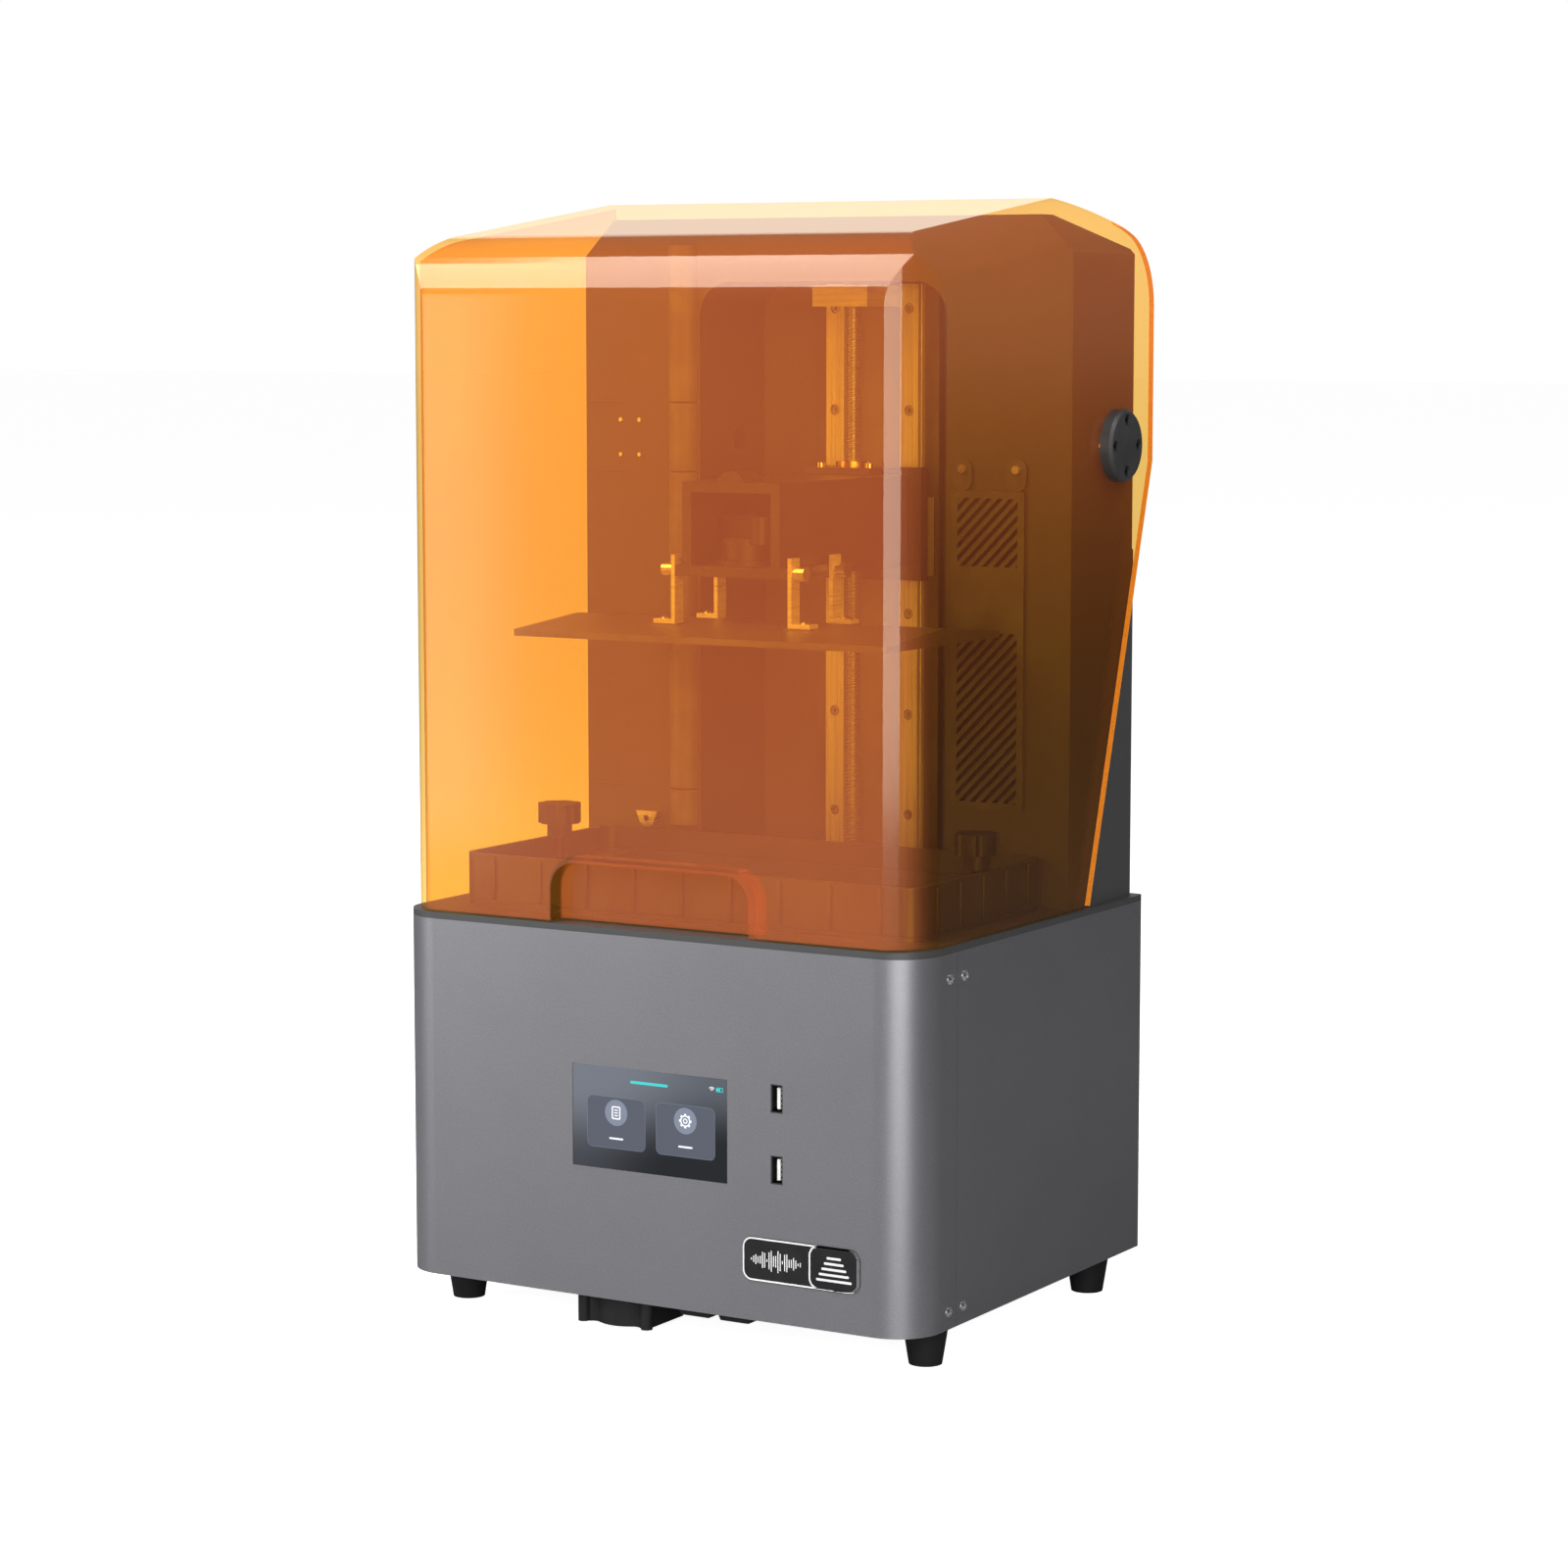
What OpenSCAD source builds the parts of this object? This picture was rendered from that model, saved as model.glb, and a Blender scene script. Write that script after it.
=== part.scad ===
// Desktop resin printer: metal base, clear flip-up cover, lift column, vat and build platform.
// Frame: X to the right, Y to the rear, Z up. The origin is on the floor, under the middle of the base.

/* [Base] */
// Width of the base
base_w = 333; // [300:1:400]
// Depth of the base
base_d = 266.5; // [260:0.5:320]
// Height of the sheet metal body of the base
base_h = 201; // [190:1:260]
// Height of the feet
foot_h = 22; // [15:1:30]
// Diameter of a foot at its top
foot_top_d = 25; // [20:1:30]
// Diameter of a foot on the floor
foot_low_d = 18; // [14:1:20]
// Thickness of the body panels
panel_t = 2; // [1.5:0.1:2.5]
// Radius of the front vertical edges
front_r = 26; // [20:1:32]
// Thickness of the deck that closes the base
deck_t = 3.5; // [3:0.5:5]
// Distance from the front face to the side seams
seam_back = 43.25; // [40:0.25:50]

/* [Front panel] */
// Width of the touch screen
screen_w = 99; // [80:1:110]
// Height of the touch screen
screen_h = 56.5; // [45:0.5:62]
// Height of the middle of the screen above the sheet metal's lower edge
screen_up = 100.6; // [90:0.2:110]
// Clearance round the screen glass
screen_gap = 0.3; // [0.2:0.1:0.6]
// Sideways place of the port column
port_x = 81.8; // [78:0.2:90]
// Width of a port opening
port_w = 7; // [6.5:0.1:8]
// Height of a port opening
port_h = 15; // [14:0.1:16]
// Width of the badge
badge_w = 72; // [50:1:80]
// Height of the badge
badge_h = 24; // [18:1:30]

/* [Column] */
// Half width of the column
column_hw = 159.5; // [140:0.5:159.5]
// Depth of the column
column_d = 76; // [70:1:80]
// Wall of the column
column_t = 2.5; // [2:0.1:4]
// Half width of the lift channel
channel_hw = 81; // [70:1:90]

/* [Cover] */
// Wall of the clear cover
cover_t = 3; // [2:0.2:4]
// Side clearance between the cover and the column
cover_gap = 2; // [2:0.5:4]
// Gap between the cover and the deck
cover_lift = 1; // [0.5:0.5:3]
// Radius of the cover's top front bend
cover_r = 38; // [30:1:45]
// Radius of the hinge caps
cap_r = 20.3; // [18:0.1:24]
// Thickness of the hinge caps
cap_t = 7; // [5:0.5:9]
// Radius of the hinge pins
pin_r = 6; // [4:0.5:8]
// Radial clearance of the hinge pins
pin_gap = 0.05; // [0.03:0.01:0.08]

/* [Lift] */
// Distance between the two rails
rail_pitch = 49.2; // [44:0.2:60]
// Width of a rail
rail_w = 12; // [9:1:15]
// Diameter of the lead screw
screw_d = 8; // [8:1:10]
// Radial clearance of the nut and the bearing on the lead screw
screw_gap = 0.05; // [0.03:0.01:0.08]

/* [Platform] */
// Width of the build plate
plate_w = 238; // [200:1:238]
// Depth of the build plate
plate_d = 128; // [110:1:128]
// Height of the build plate's lower face above the floor
plate_z = 377.5; // [360:0.5:400]
// Thickness of the build plate at its front and rear edges
plate_edge = 3.7; // [3:0.1:5]
// Rise of the build plate's ridge above its edges
plate_rise = 5.4; // [3:0.1:8]
// Thickness of the angled legs
leg_t = 2.4; // [2:0.1:3]
// Width of the angled legs
leg_w = 9; // [8:0.5:12]

/* [Vat] */
// Height of the vat above the deck
vat_h = 29; // [25:0.5:35]
// Wall of the vat
vat_t = 3; // [2:0.5:4]
// Clearance between the build plate and the vat's inner opening
plate_gap = 2; // [1.5:0.5:4]
// Diameter of the vat's thumb knobs
knob_d = 24.6; // [20:0.2:25]

/* [Hidden] */
$fn = 96;
eps = 0.5;                                  // overshoot of a cut

// Base levels and edges
base_z = foot_h;                            // lower edge of the sheet metal
deck_z = base_z + base_h;                   // underside of the deck
top_z = deck_z + deck_t;                    // upper face of the deck
badge_t = 0.6;
overhang = 9.75;                            // how far the cover reaches behind the base
base_front = badge_t - (badge_t + base_d + overhang) / 2;
base_rear = base_front + base_d;
seam_y = base_front + seam_back;
floor_t = 2;                                // bottom plate
side_x = base_w / 2;
inner_x = side_x - panel_t;
rear_r = 4;                                 // rear vertical edges
foot_x = side_x - 18;
foot_front = base_front + 43;
foot_rear = base_rear - 32;
foot_bore = 2.1;                            // radius of the foot screw hole

// Panel screws, two pairs on each side of the seam
screw_offsets = [-7.5, 8.5];
screw_levels = [base_z + 9.2, base_z + base_h - 13.8];
screw_head_r = 3.1;
screw_head_h = 1.7;
seam_bar_w = 24;

// Front panel details
screen_x = 1.5;
screen_z = base_z + screen_up;
port_pitch = 38.4;
port_z = base_z + 102.2;
port_depth = 13;
module_t = 5;                               // display module behind the glass
badge_x = 96.7;
badge_z = base_z + 33.7;
badge_r = 6;

// Column
column_rear = base_rear - 5.25;
column_front = column_rear - column_d;
column_top = top_z + 383.5;
column_low_top = column_top - 21;           // where the top's side chamfers start
chamfer_w = 20;
ridge_back = 14;                            // ridge of the column behind its front face
rear_drop = 0.29;                           // slope of the column's top behind the ridge
channel_top = top_z + 347.5;
channel_r = 20;
back_t = 3.5;                               // rear panel of the column
wing_t = 0.8;                               // raised side skirts of the column
nozzle_x = -115;
nozzle_z = top_z + vat_h + 6;
nozzle_r = 3;

// Cover
cover_hw = column_hw + cover_gap + cover_t;
cover_front = base_front + 1.95;
cover_z = top_z + cover_lift;
cover_slope = 0.1335;                       // rise of the cover's top towards the ridge
ridge_y = column_front + 2.4;
ridge_z = top_z + 392.2;
cover_rear = base_rear + overhang;
rear_slope = -0.313;
rear_bend_r = 42;
slant_top = top_z + 246.5;                  // where the rear edge turns forward
slant_foot = column_front + 16.4;           // rear end of the cover's lower edge
spare = 20;                                 // how far construction shapes reach past the cover
strip_r = 38;                               // radius of the corner strips' bow
strip_side = [37, 34];                      // its centre from the upright corners, in X and Y
strip_top = [36, 34.5];                     // its centre from the top's side edges, in X and Z
handle_hw = 63;
handle_h = 32.5;
handle_in = 11;                             // depth of the finger recess
handle_r = 15;
hinge_y = column_rear - 31.5;
hinge_z = top_z + 256.5;
cap_screw_r = 14.3;                         // circle of the cap screws

// Lift
screw_y = column_rear - 39;
rail_h = 8;
slab_t = 6;                                 // aluminium slab behind the rails
slab_hw = 40;
slab_front = column_rear - back_t - slab_t;
rail_front = slab_front - rail_h;
rail_low = top_z + 8.5;
rail_top = channel_top - 1;
rail_screw_pitch = 58.7;
slab_low = base_z + 118;
motor_w = 42.3;
motor_h = 48;
motor_top = base_z + 154;
block_top_z = channel_top - 14;             // underside of the top bearing block
block_h = 12;
bearing_r = 11;
bearing_h = 7;
lead_low = motor_top + 22;
coupler_low = motor_top + 10;
coupler_h = 25;
coupler_r = 9.5;

// Platform: everything hangs on the carriage and is placed from the build plate
plate_mid = column_front - 71;              // depth of the plate's ridge
plate_front = plate_mid - plate_d / 2;
plate_rear = plate_mid + plate_d / 2;
foot_level = plate_z + 7.6;                 // seats of the legs on the build plate
leg_h = 38.2;
leg_reach = 14;
leg_offsets = [-22.5, 22.5];                // legs in front of and behind the ridge
bracket_hw = 36.4;
bracket_t = 6;
bracket_z = foot_level + 26.6;
bracket_front = plate_mid - 27;
bracket_rear = plate_mid + 40;
arm_hw = 31.4;
arm_t = 5.8;
arm_top = bracket_z + 52.3;
carriage_t = 8;
carriage_front = rail_front - 13;
carriage_z = bracket_z - 8.5;
carriage_h = 65;
carriage_hw = 40;
block_l = 45.4;
block_w = 27;
block_gap = 0.3;                            // clearance of the blocks round the rails
nut_bracket_hw = 19;
nut_bracket_t = 8;
nut_r = 7.2;

// Vat
vat_hw = 146;
vat_front = column_front - 149;
vat_rear = column_front - 0.8;
film_z = top_z + 2.5;
film_t = 0.3;
ledge_z = top_z + 15.5;
opening_hw = plate_w / 2 + plate_gap;
opening_front = plate_front - plate_gap - 0.5;
opening_rear = plate_rear + 1.2;
knob_x = vat_hw - 9.5;
knob_y = column_front - 65;
knob_shaft_r = 3;
knob_gap = 0.3;

// Electronics on the bottom plate
rocker_tip = 9;
board_front = base_rear - 113;
supply_front = base_rear - 129;
supply_rear = base_rear - 21;

// Light engine
light_hw = plate_w / 2 - 1;
light_y = plate_mid;
light_d = plate_d + 2;
light_low = deck_z - 95;
glass_t = 3;
fan_w = 80;
fan_t = 20;
fan_low = light_low - 54;

// Extrude an outline drawn in Y and Z along X
module along_x(x0, x1) {
    translate([x0, 0, 0]) rotate([90, 0, 90]) linear_extrude(x1 - x0) children();
}

// Extrude an outline drawn in X and Z along Y
module along_y(y0, y1) {
    translate([0, y1, 0]) rotate([90, 0, 0]) linear_extrude(y1 - y0) children();
}

// Box from its lowest and highest corners
module block(low, high) {
    translate(low) cube(high - low);
}

// Cylinder along X
module rod_x(x0, x1, y, z, r) {
    translate([x0, y, z]) rotate([0, 90, 0]) cylinder(h = x1 - x0, r = r);
}

// Cylinder along Y
module rod_y(x, y0, y1, z, r) {
    translate([x, y1, z]) rotate([90, 0, 0]) cylinder(h = y1 - y0, r = r);
}

// Copy to the left and to the right
module both_sides() {
    children();
    mirror([1, 0, 0]) children();
}

// Rectangle with four round corners, centred
module round_rect(w, h, r) {
    square([w - 2 * r, h], center = true);
    square([w, h - 2 * r], center = true);
    for (x = [-1, 1], y = [-1, 1])
        translate([x * (w / 2 - r), y * (h / 2 - r)]) circle(r);
}

// Plan outline of the base, set in by a distance
module base_plan(inset) {
    r = front_r - inset;
    q = rear_r - min(inset, rear_r - 1);
    x = side_x - inset;
    y0 = base_front + inset;
    y1 = base_rear - inset;
    translate([-x + r, y0]) square([2 * (x - r), front_r]);
    translate([-x, y0 + r]) square([2 * x, y1 - y0 - r - q]);
    translate([-x + q, y1 - 2 * q]) square([2 * (x - q), 2 * q]);
    for (s = [-1, 1]) {
        translate([s * (x - r), y0 + r]) circle(r);
        translate([s * (x - q), y1 - q]) circle(q);
    }
}

// Rectangle on the floor line with two round upper corners, drawn in X and Z
module round_top(hw, z0, z1, r) {
    translate([-hw, z0]) square([2 * hw, z1 - z0 - r]);
    translate([-hw + r, z0]) square([2 * (hw - r), z1 - z0]);
    for (s = [-1, 1]) translate([s * (hw - r), z1 - r]) circle(r);
}

// ---------------------------------------------------------------- base

module front_panel() {
    color([0.55, 0.55, 0.57]) difference() {
        intersection() {
            translate([0, 0, base_z]) linear_extrude(base_h) base_plan(0);
            block([-base_w, base_front - eps, 0], [base_w, seam_y, deck_z]);
        }
        translate([0, 0, base_z - eps]) linear_extrude(base_h + 2 * eps) base_plan(panel_t);
        translate([screen_x, 0, screen_z]) along_y(base_front - eps, base_front + panel_t + eps)
            square([screen_w, screen_h], center = true);
        for (s = [-1, 1]) translate([port_x, 0, port_z + s * port_pitch / 2])
            along_y(base_front - eps, base_front + panel_t + eps)
                square([port_w + 0.4, port_h + 0.4], center = true);
        for (z = screw_levels) rod_x(-base_w, base_w, seam_y + screw_offsets[0], z, 1.6);
    }
}

module rear_panel() {
    color([0.29, 0.29, 0.3]) difference() {
        union() {
            difference() {
                intersection() {
                    translate([0, 0, base_z]) linear_extrude(base_h) base_plan(0);
                    block([-base_w, seam_y + 0.4, 0], [base_w, base_rear + eps, deck_z]);
                }
                translate([0, 0, base_z - eps]) linear_extrude(base_h + 2 * eps) base_plan(panel_t);
            }
            both_sides() block([inner_x - 2, seam_y - seam_bar_w / 2, base_z + floor_t + 1],
                [inner_x, seam_y + seam_bar_w / 2, deck_z - 1]);
        }
        for (z = screw_levels, dy = screw_offsets) rod_x(-base_w, base_w, seam_y + dy, z, 1.6);
        translate([-110, 0, base_z + 38]) along_y(base_rear - panel_t - eps, base_rear + eps)
            square([27.4, 20.4], center = true);
        translate([-62, 0, base_z + 38]) along_y(base_rear - panel_t - eps, base_rear + eps)
            square([13.4, 19.4], center = true);
        for (x = [20 : 8 : 140], z = [60 : 12 : 120])
            translate([x, 0, base_z + z]) along_y(base_rear - panel_t - eps, base_rear + eps)
                square([4, 8], center = true);
    }
}

module bottom_plate() {
    color([0.2, 0.2, 0.21]) difference() {
        union() {
            translate([0, 0, base_z]) linear_extrude(floor_t) base_plan(panel_t);
            for (x = [-138, -52], y = [board_front + 6, board_front + 84])
                translate([x, y, base_z]) cylinder(h = 10, r = 3.5);
        }
        for (x = [-1, 1], y = [foot_front, foot_rear])
            translate([x * foot_x, y, base_z - eps]) cylinder(h = floor_t + 2 * eps, r = foot_bore);
        for (x = [-36 : 9 : 36], y = [-1, 1])
            translate([x - 2, light_y + y * 18 - 15, base_z - eps]) cube([4, 30, floor_t + 2 * eps]);
    }
}

module deck_plate() {
    color([0.31, 0.31, 0.32]) difference() {
        translate([0, 0, deck_z]) linear_extrude(deck_t) base_plan(0);
        block([-light_hw - 0.5, light_y - light_d / 2 - 0.5, deck_z - eps],
            [light_hw + 0.5, light_y + light_d / 2 + 0.5, top_z + eps]);
        block([-slab_hw - 3, screw_y - 14, deck_z - eps],
            [slab_hw + 3, column_rear - 1, top_z + eps]);
        both_sides() translate([knob_x, knob_y, deck_z - eps])
            cylinder(h = deck_t + 2 * eps, r = knob_shaft_r + pin_gap);
    }
}

module feet() {
    color([0.08, 0.08, 0.08]) for (x = [-1, 1], y = [foot_front, foot_rear])
        translate([x * foot_x, y, 0]) difference() {
            cylinder(h = foot_h, d1 = foot_low_d, d2 = foot_top_d);
            translate([0, 0, -eps]) cylinder(h = 8 + eps, r = 4.2);
            translate([0, 0, -eps]) cylinder(h = foot_h + 2 * eps, r = foot_bore);
        }
}

module foot_screws() {
    color([0.6, 0.6, 0.62]) for (x = [-1, 1], y = [foot_front, foot_rear])
        translate([x * foot_x, y, 0]) {
            translate([0, 0, 5]) difference() {
                cylinder(h = 3, r = 3.8);
                translate([0, 0, -eps]) cylinder(h = 2, r = 1.6, $fn = 6);
            }
            translate([0, 0, 7.5]) cylinder(h = foot_h + floor_t - 7.7, r = 2);
        }
}

module panel_screws() {
    color([0.85, 0.85, 0.86]) both_sides() for (z = screw_levels, dy = screw_offsets)
        translate([side_x, seam_y + dy, z]) rotate([0, 90, 0]) difference() {
            union() {
                intersection() {
                    translate([0, 0, screw_head_h - 4.2]) sphere(4.2);
                    cylinder(h = screw_head_h, r = screw_head_r);
                }
                translate([0, 0, -panel_t - 4]) cylinder(h = panel_t + 4.2, r = 1.5);
            }
            translate([0, 0, screw_head_h - 1.1]) cylinder(h = 2, r = 1.15, $fn = 6);
        }
}

module display_glass() {
    color([0.05, 0.07, 0.1]) translate([screen_x, 0, screen_z])
        along_y(base_front + 0.1, base_front + panel_t)
            square([screen_w - 2 * screen_gap, screen_h - 2 * screen_gap], center = true);
}

module display_module() {
    color([0.5, 0.5, 0.52]) translate([screen_x, 0, screen_z])
        along_y(base_front + panel_t, base_front + panel_t + module_t)
            square([screen_w + 4, screen_h + 6], center = true);
}

module display_board() {
    color([0.1, 0.35, 0.2]) {
        y = base_front + panel_t + module_t;
        block([screen_x - 52, y, port_z - 36], [port_x - port_w / 2, y + 1.6, port_z + 36]);
        block([screen_x - 20, y + 1.5, port_z - 12], [screen_x + 10, y + 4.6, port_z + 12]);
        block([screen_x + 20, y + 1.5, port_z - 30], [screen_x + 44, y + 9, port_z - 24]);
    }
}

module usb_shells() {
    color([0.8, 0.8, 0.8]) for (s = [-1, 1])
        translate([port_x, 0, port_z + s * port_pitch / 2]) difference() {
            along_y(base_front + 0.3, base_front + port_depth)
                square([port_w, port_h], center = true);
            along_y(base_front, base_front + port_depth - 1)
                square([port_w - 0.8, port_h - 0.8], center = true);
        }
}

module usb_tongues() {
    color([0.92, 0.92, 0.9]) for (s = [-1, 1])
        translate([port_x, 0, port_z + s * port_pitch / 2])
            along_y(base_front + 2, base_front + port_depth - 1)
                translate([0.1, 0]) square([1.9, port_h - 3.6], center = true);
}

module badge() {
    color([0.04, 0.04, 0.05]) translate([badge_x, 0, badge_z])
        along_y(base_front - badge_t, base_front) round_rect(badge_w, badge_h, badge_r);
}

// Scalloped rubber rest under the front of the base
module front_support() {
    lobe = 3.2;
    x0 = -46;
    x1 = -3.5;
    y0 = base_front + 6;
    color([0.08, 0.08, 0.08]) translate([0, 0, base_z - 15.5]) linear_extrude(15.5) difference() {
        union() {
            translate([x0, y0]) square([x1 - x0, 36]);
            for (x = [x0, x1 - lobe / 2]) translate([x + lobe / 4, y0]) circle(lobe);
            translate([(x0 + x1) / 2, y0 + 16]) circle(18.5);
        }
        for (x = [x0 + 8.2, x1 - 8.2]) translate([x, y0 - 3.2]) circle(4.6);
    }
}

// Two flat rubber rests with slanted ends beside it
module underside_pads() {
    color([0.08, 0.08, 0.08]) for (x = [16.5, 41.5])
        along_y(base_front + 5, base_front + 42)
            polygon([[x, base_z], [x + 21.5, base_z], [x + 19.5, base_z - 4], [x + 2, base_z - 4]]);
}

// ---------------------------------------------------------------- light engine and electronics

module light_screen() {
    color([0.05, 0.05, 0.07])
        block([-light_hw, light_y - light_d / 2, top_z + 2.2 - glass_t],
            [light_hw, light_y + light_d / 2, top_z + 2.2]);
}

module light_housing() {
    color([0.7, 0.7, 0.72]) difference() {
        union() {
            block([-light_hw, light_y - light_d / 2, light_low],
                [light_hw, light_y + light_d / 2, top_z + 2.2 - glass_t]);
            block([-light_hw - 8, light_y - light_d / 2 - 8, deck_z - 2],
                [light_hw + 8, light_y + light_d / 2 + 8, deck_z]);
        }
        block([-light_hw + 2, light_y - light_d / 2 + 2, light_low + 2],
            [light_hw - 2, light_y + light_d / 2 - 2, top_z + 2.2]);
        block([-30, light_y - 30, light_low - eps], [30, light_y + 30, light_low + 3]);
    }
}

module led_board() {
    color([0.9, 0.9, 0.85]) {
        block([-34, light_y - 34, light_low - 2], [34, light_y + 34, light_low]);
        for (x = [-20 : 10 : 20], y = [-20 : 10 : 20])
            translate([x, light_y + y, light_low - 0.2]) cylinder(h = 1.7, r = 3);
    }
}

module heat_sink() {
    color([0.6, 0.6, 0.62]) {
        block([-40, light_y - 40, light_low - 8], [40, light_y + 40, light_low - 2]);
        for (x = [-38 : 8 : 38]) block([x - 1, light_y - 40, light_low - 34],
            [x + 1, light_y + 40, light_low - 7.5]);
    }
}

module fan_frame() {
    color([0.1, 0.1, 0.1]) translate([0, light_y, fan_low]) difference() {
        translate([-fan_w / 2, -fan_w / 2, 0]) cube([fan_w, fan_w, fan_t]);
        difference() {
            translate([0, 0, -eps]) cylinder(h = fan_t + 2 * eps, r = fan_w / 2 - 2);
            translate([0, 0, -eps]) cylinder(h = 3 + eps, r = 14);
            for (a = [0 : 90 : 270]) rotate(a + 45) translate([10, -2, -eps]) cube([fan_w / 2, 4, 3 + eps]);
        }
        translate([0, 0, 1]) cylinder(h = fan_t, r = 2 + pin_gap);
    }
}

module fan_rotor() {
    color([0.15, 0.15, 0.15]) translate([0, light_y, fan_low]) {
        translate([0, 0, 3.6]) cylinder(h = fan_t - 4.6, r = 15);
        translate([0, 0, 1.4]) cylinder(h = 3, r = 2);
        for (a = [0 : 360 / 7 : 359]) rotate(a) translate([14, 0, 6]) rotate([35, 0, 0])
            translate([0, -1, -1]) cube([21, 2, 11]);
    }
}

module main_board() {
    color([0.1, 0.35, 0.2]) {
        block([-143, board_front, base_z + 10], [-47, board_front + 90, base_z + 11.6]);
        block([-120, board_front + 20, base_z + 11], [-100, board_front + 40, base_z + 16]);
        block([-85, board_front + 20, base_z + 11], [-70, board_front + 35, base_z + 22]);
        block([-138, board_front + 60, base_z + 11], [-60, board_front + 68, base_z + 20]);
    }
}

module power_supply() {
    color([0.65, 0.65, 0.66]) difference() {
        block([46, supply_front, base_z + floor_t], [150, supply_rear, base_z + 44]);
        for (x = [56 : 8 : 140])
            block([x, supply_front + 10, base_z + 43], [x + 3, supply_front + 56, base_z + 44 + eps]);
        block([52, supply_rear - 8, base_z + 20], [144, supply_rear + eps, base_z + 44 + eps]);
    }
}

module power_inlet() {
    color([0.06, 0.06, 0.06]) translate([-110, 0, base_z + 38]) difference() {
        union() {
            along_y(base_rear - 18, base_rear) square([27, 20], center = true);
            along_y(base_rear, base_rear + 2) round_rect(31, 24, 3);
        }
        along_y(base_rear - 14, base_rear + 2 + eps) square([23, 15.6], center = true);
    }
    color([0.75, 0.75, 0.75]) translate([-110, 0, base_z + 38]) for (x = [-7, 0, 7])
        along_y(base_rear - 15, base_rear - 4) translate([x, x == 0 ? 2 : -2])
            square([2, 4], center = true);
}

module switch_body() {
    color([0.08, 0.08, 0.08]) translate([-62, 0, base_z + 38]) difference() {
        union() {
            along_y(base_rear - 16, base_rear) square([13, 19], center = true);
            along_y(base_rear, base_rear + 1.5) round_rect(16, 22, 2);
        }
        along_y(base_rear - 9, base_rear + 1.5 + eps) square([10, 16], center = true);
        rod_x(-5.9, 5.9, base_rear - 3, 0, 1 + pin_gap);
    }
}

// Rocker on its two pivots, tipped to its off side
module power_rocker() {
    color([0.7, 0.1, 0.08]) {
        along_x(-66.6, -57.4) translate([base_rear - 3, base_z + 38]) rotate(rocker_tip)
            intersection() {
                circle(7.6);
                polygon([[-3, -4], [-3, 4], [2.5, 8], [4.6, 0], [2.5, -8]]);
            }
        rod_x(-67.7, -56.3, base_rear - 3, base_z + 38, 1);
    }
}

// ---------------------------------------------------------------- lift

module motor_bracket() {
    color([0.7, 0.7, 0.71]) difference() {
        union() {
            block([-30, screw_y - 24, motor_top], [30, slab_front, motor_top + 5]);
            both_sides() block([25, screw_y - 24, motor_top - 30], [30, slab_front, motor_top]);
        }
        translate([0, screw_y, motor_top - eps]) cylinder(h = 5 + 2 * eps, r = 11.3);
    }
}

module z_motor() {
    color([0.15, 0.15, 0.15]) translate([0, screw_y, 0]) difference() {
        union() {
            translate([-motor_w / 2, -motor_w / 2, motor_top - motor_h])
                cube([motor_w, motor_w, motor_h]);
            translate([0, 0, motor_top]) cylinder(h = 2, r = 11);
        }
        translate([0, 0, motor_top - 10]) cylinder(h = 12 + eps, r = 2.5 + pin_gap);
    }
}

module z_back_plate() {
    color([0.75, 0.75, 0.76]) difference() {
        block([-slab_hw, slab_front, slab_low], [slab_hw, slab_front + slab_t, channel_top - 1]);
        for (s = [-1, 1], k = [0 : 5]) rod_y(s * rail_pitch / 2, slab_front - eps,
            slab_front + slab_t + eps, rail_top - 14 - k * rail_screw_pitch, 1.6);
    }
}

module z_rails() {
    color([0.8, 0.8, 0.82]) for (s = [-1, 1]) difference() {
        translate([s * rail_pitch / 2, slab_front]) union() {
            block([-rail_w / 2, -rail_h, rail_low], [rail_w / 2, 0, rail_top]);
        }
        both_sides() translate([rail_pitch / 2 - rail_w / 2, slab_front - rail_h / 2, rail_low - eps])
            cylinder(h = rail_top - rail_low + 2 * eps, r = 1);
        both_sides() translate([rail_pitch / 2 + rail_w / 2, slab_front - rail_h / 2, rail_low - eps])
            cylinder(h = rail_top - rail_low + 2 * eps, r = 1);
        for (k = [0 : 5]) {
            z = rail_top - 14 - k * rail_screw_pitch;
            rod_y(s * rail_pitch / 2, rail_front - eps, slab_front + eps, z, 1.7);
            rod_y(s * rail_pitch / 2, rail_front - eps, rail_front + 4, z, 3.1);
        }
    }
}

module rail_screws() {
    color([0.25, 0.25, 0.26]) for (s = [-1, 1], k = [0 : 5]) {
        x = s * rail_pitch / 2;
        z = rail_top - 14 - k * rail_screw_pitch;
        difference() {
            rod_y(x, rail_front + 1, rail_front + 4, z, 2.8);
            translate([x, rail_front + 2.5, z]) rotate([90, 0, 0]) cylinder(h = 3, r = 1.3, $fn = 6);
        }
        rod_y(x, rail_front + 3.5, slab_front + slab_t, z, 1.5);
    }
}

module top_bearing_block() {
    color([0.72, 0.72, 0.73]) difference() {
        block([-18, screw_y - 16, block_top_z], [18, slab_front, block_top_z + block_h]);
        translate([0, screw_y, block_top_z - eps]) cylinder(h = block_h + 2 * eps, r = screw_d / 2 + 1);
        translate([0, screw_y, block_top_z - eps]) cylinder(h = bearing_h + eps, r = bearing_r);
    }
}

module screw_bearing() {
    color([0.6, 0.6, 0.62]) translate([0, screw_y, block_top_z]) difference() {
        cylinder(h = bearing_h, r = bearing_r);
        translate([0, 0, -eps]) cylinder(h = bearing_h + 2 * eps, r = screw_d / 2 + screw_gap);
    }
}

module lead_screw() {
    color([0.8, 0.8, 0.82]) translate([0, screw_y, 0]) {
        translate([0, 0, lead_low]) cylinder(h = block_top_z + block_h - 2 - lead_low, r = screw_d / 2);
        translate([0, 0, motor_top - 9]) cylinder(h = lead_low - motor_top + 9, r = 2.5);
    }
}

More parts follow.
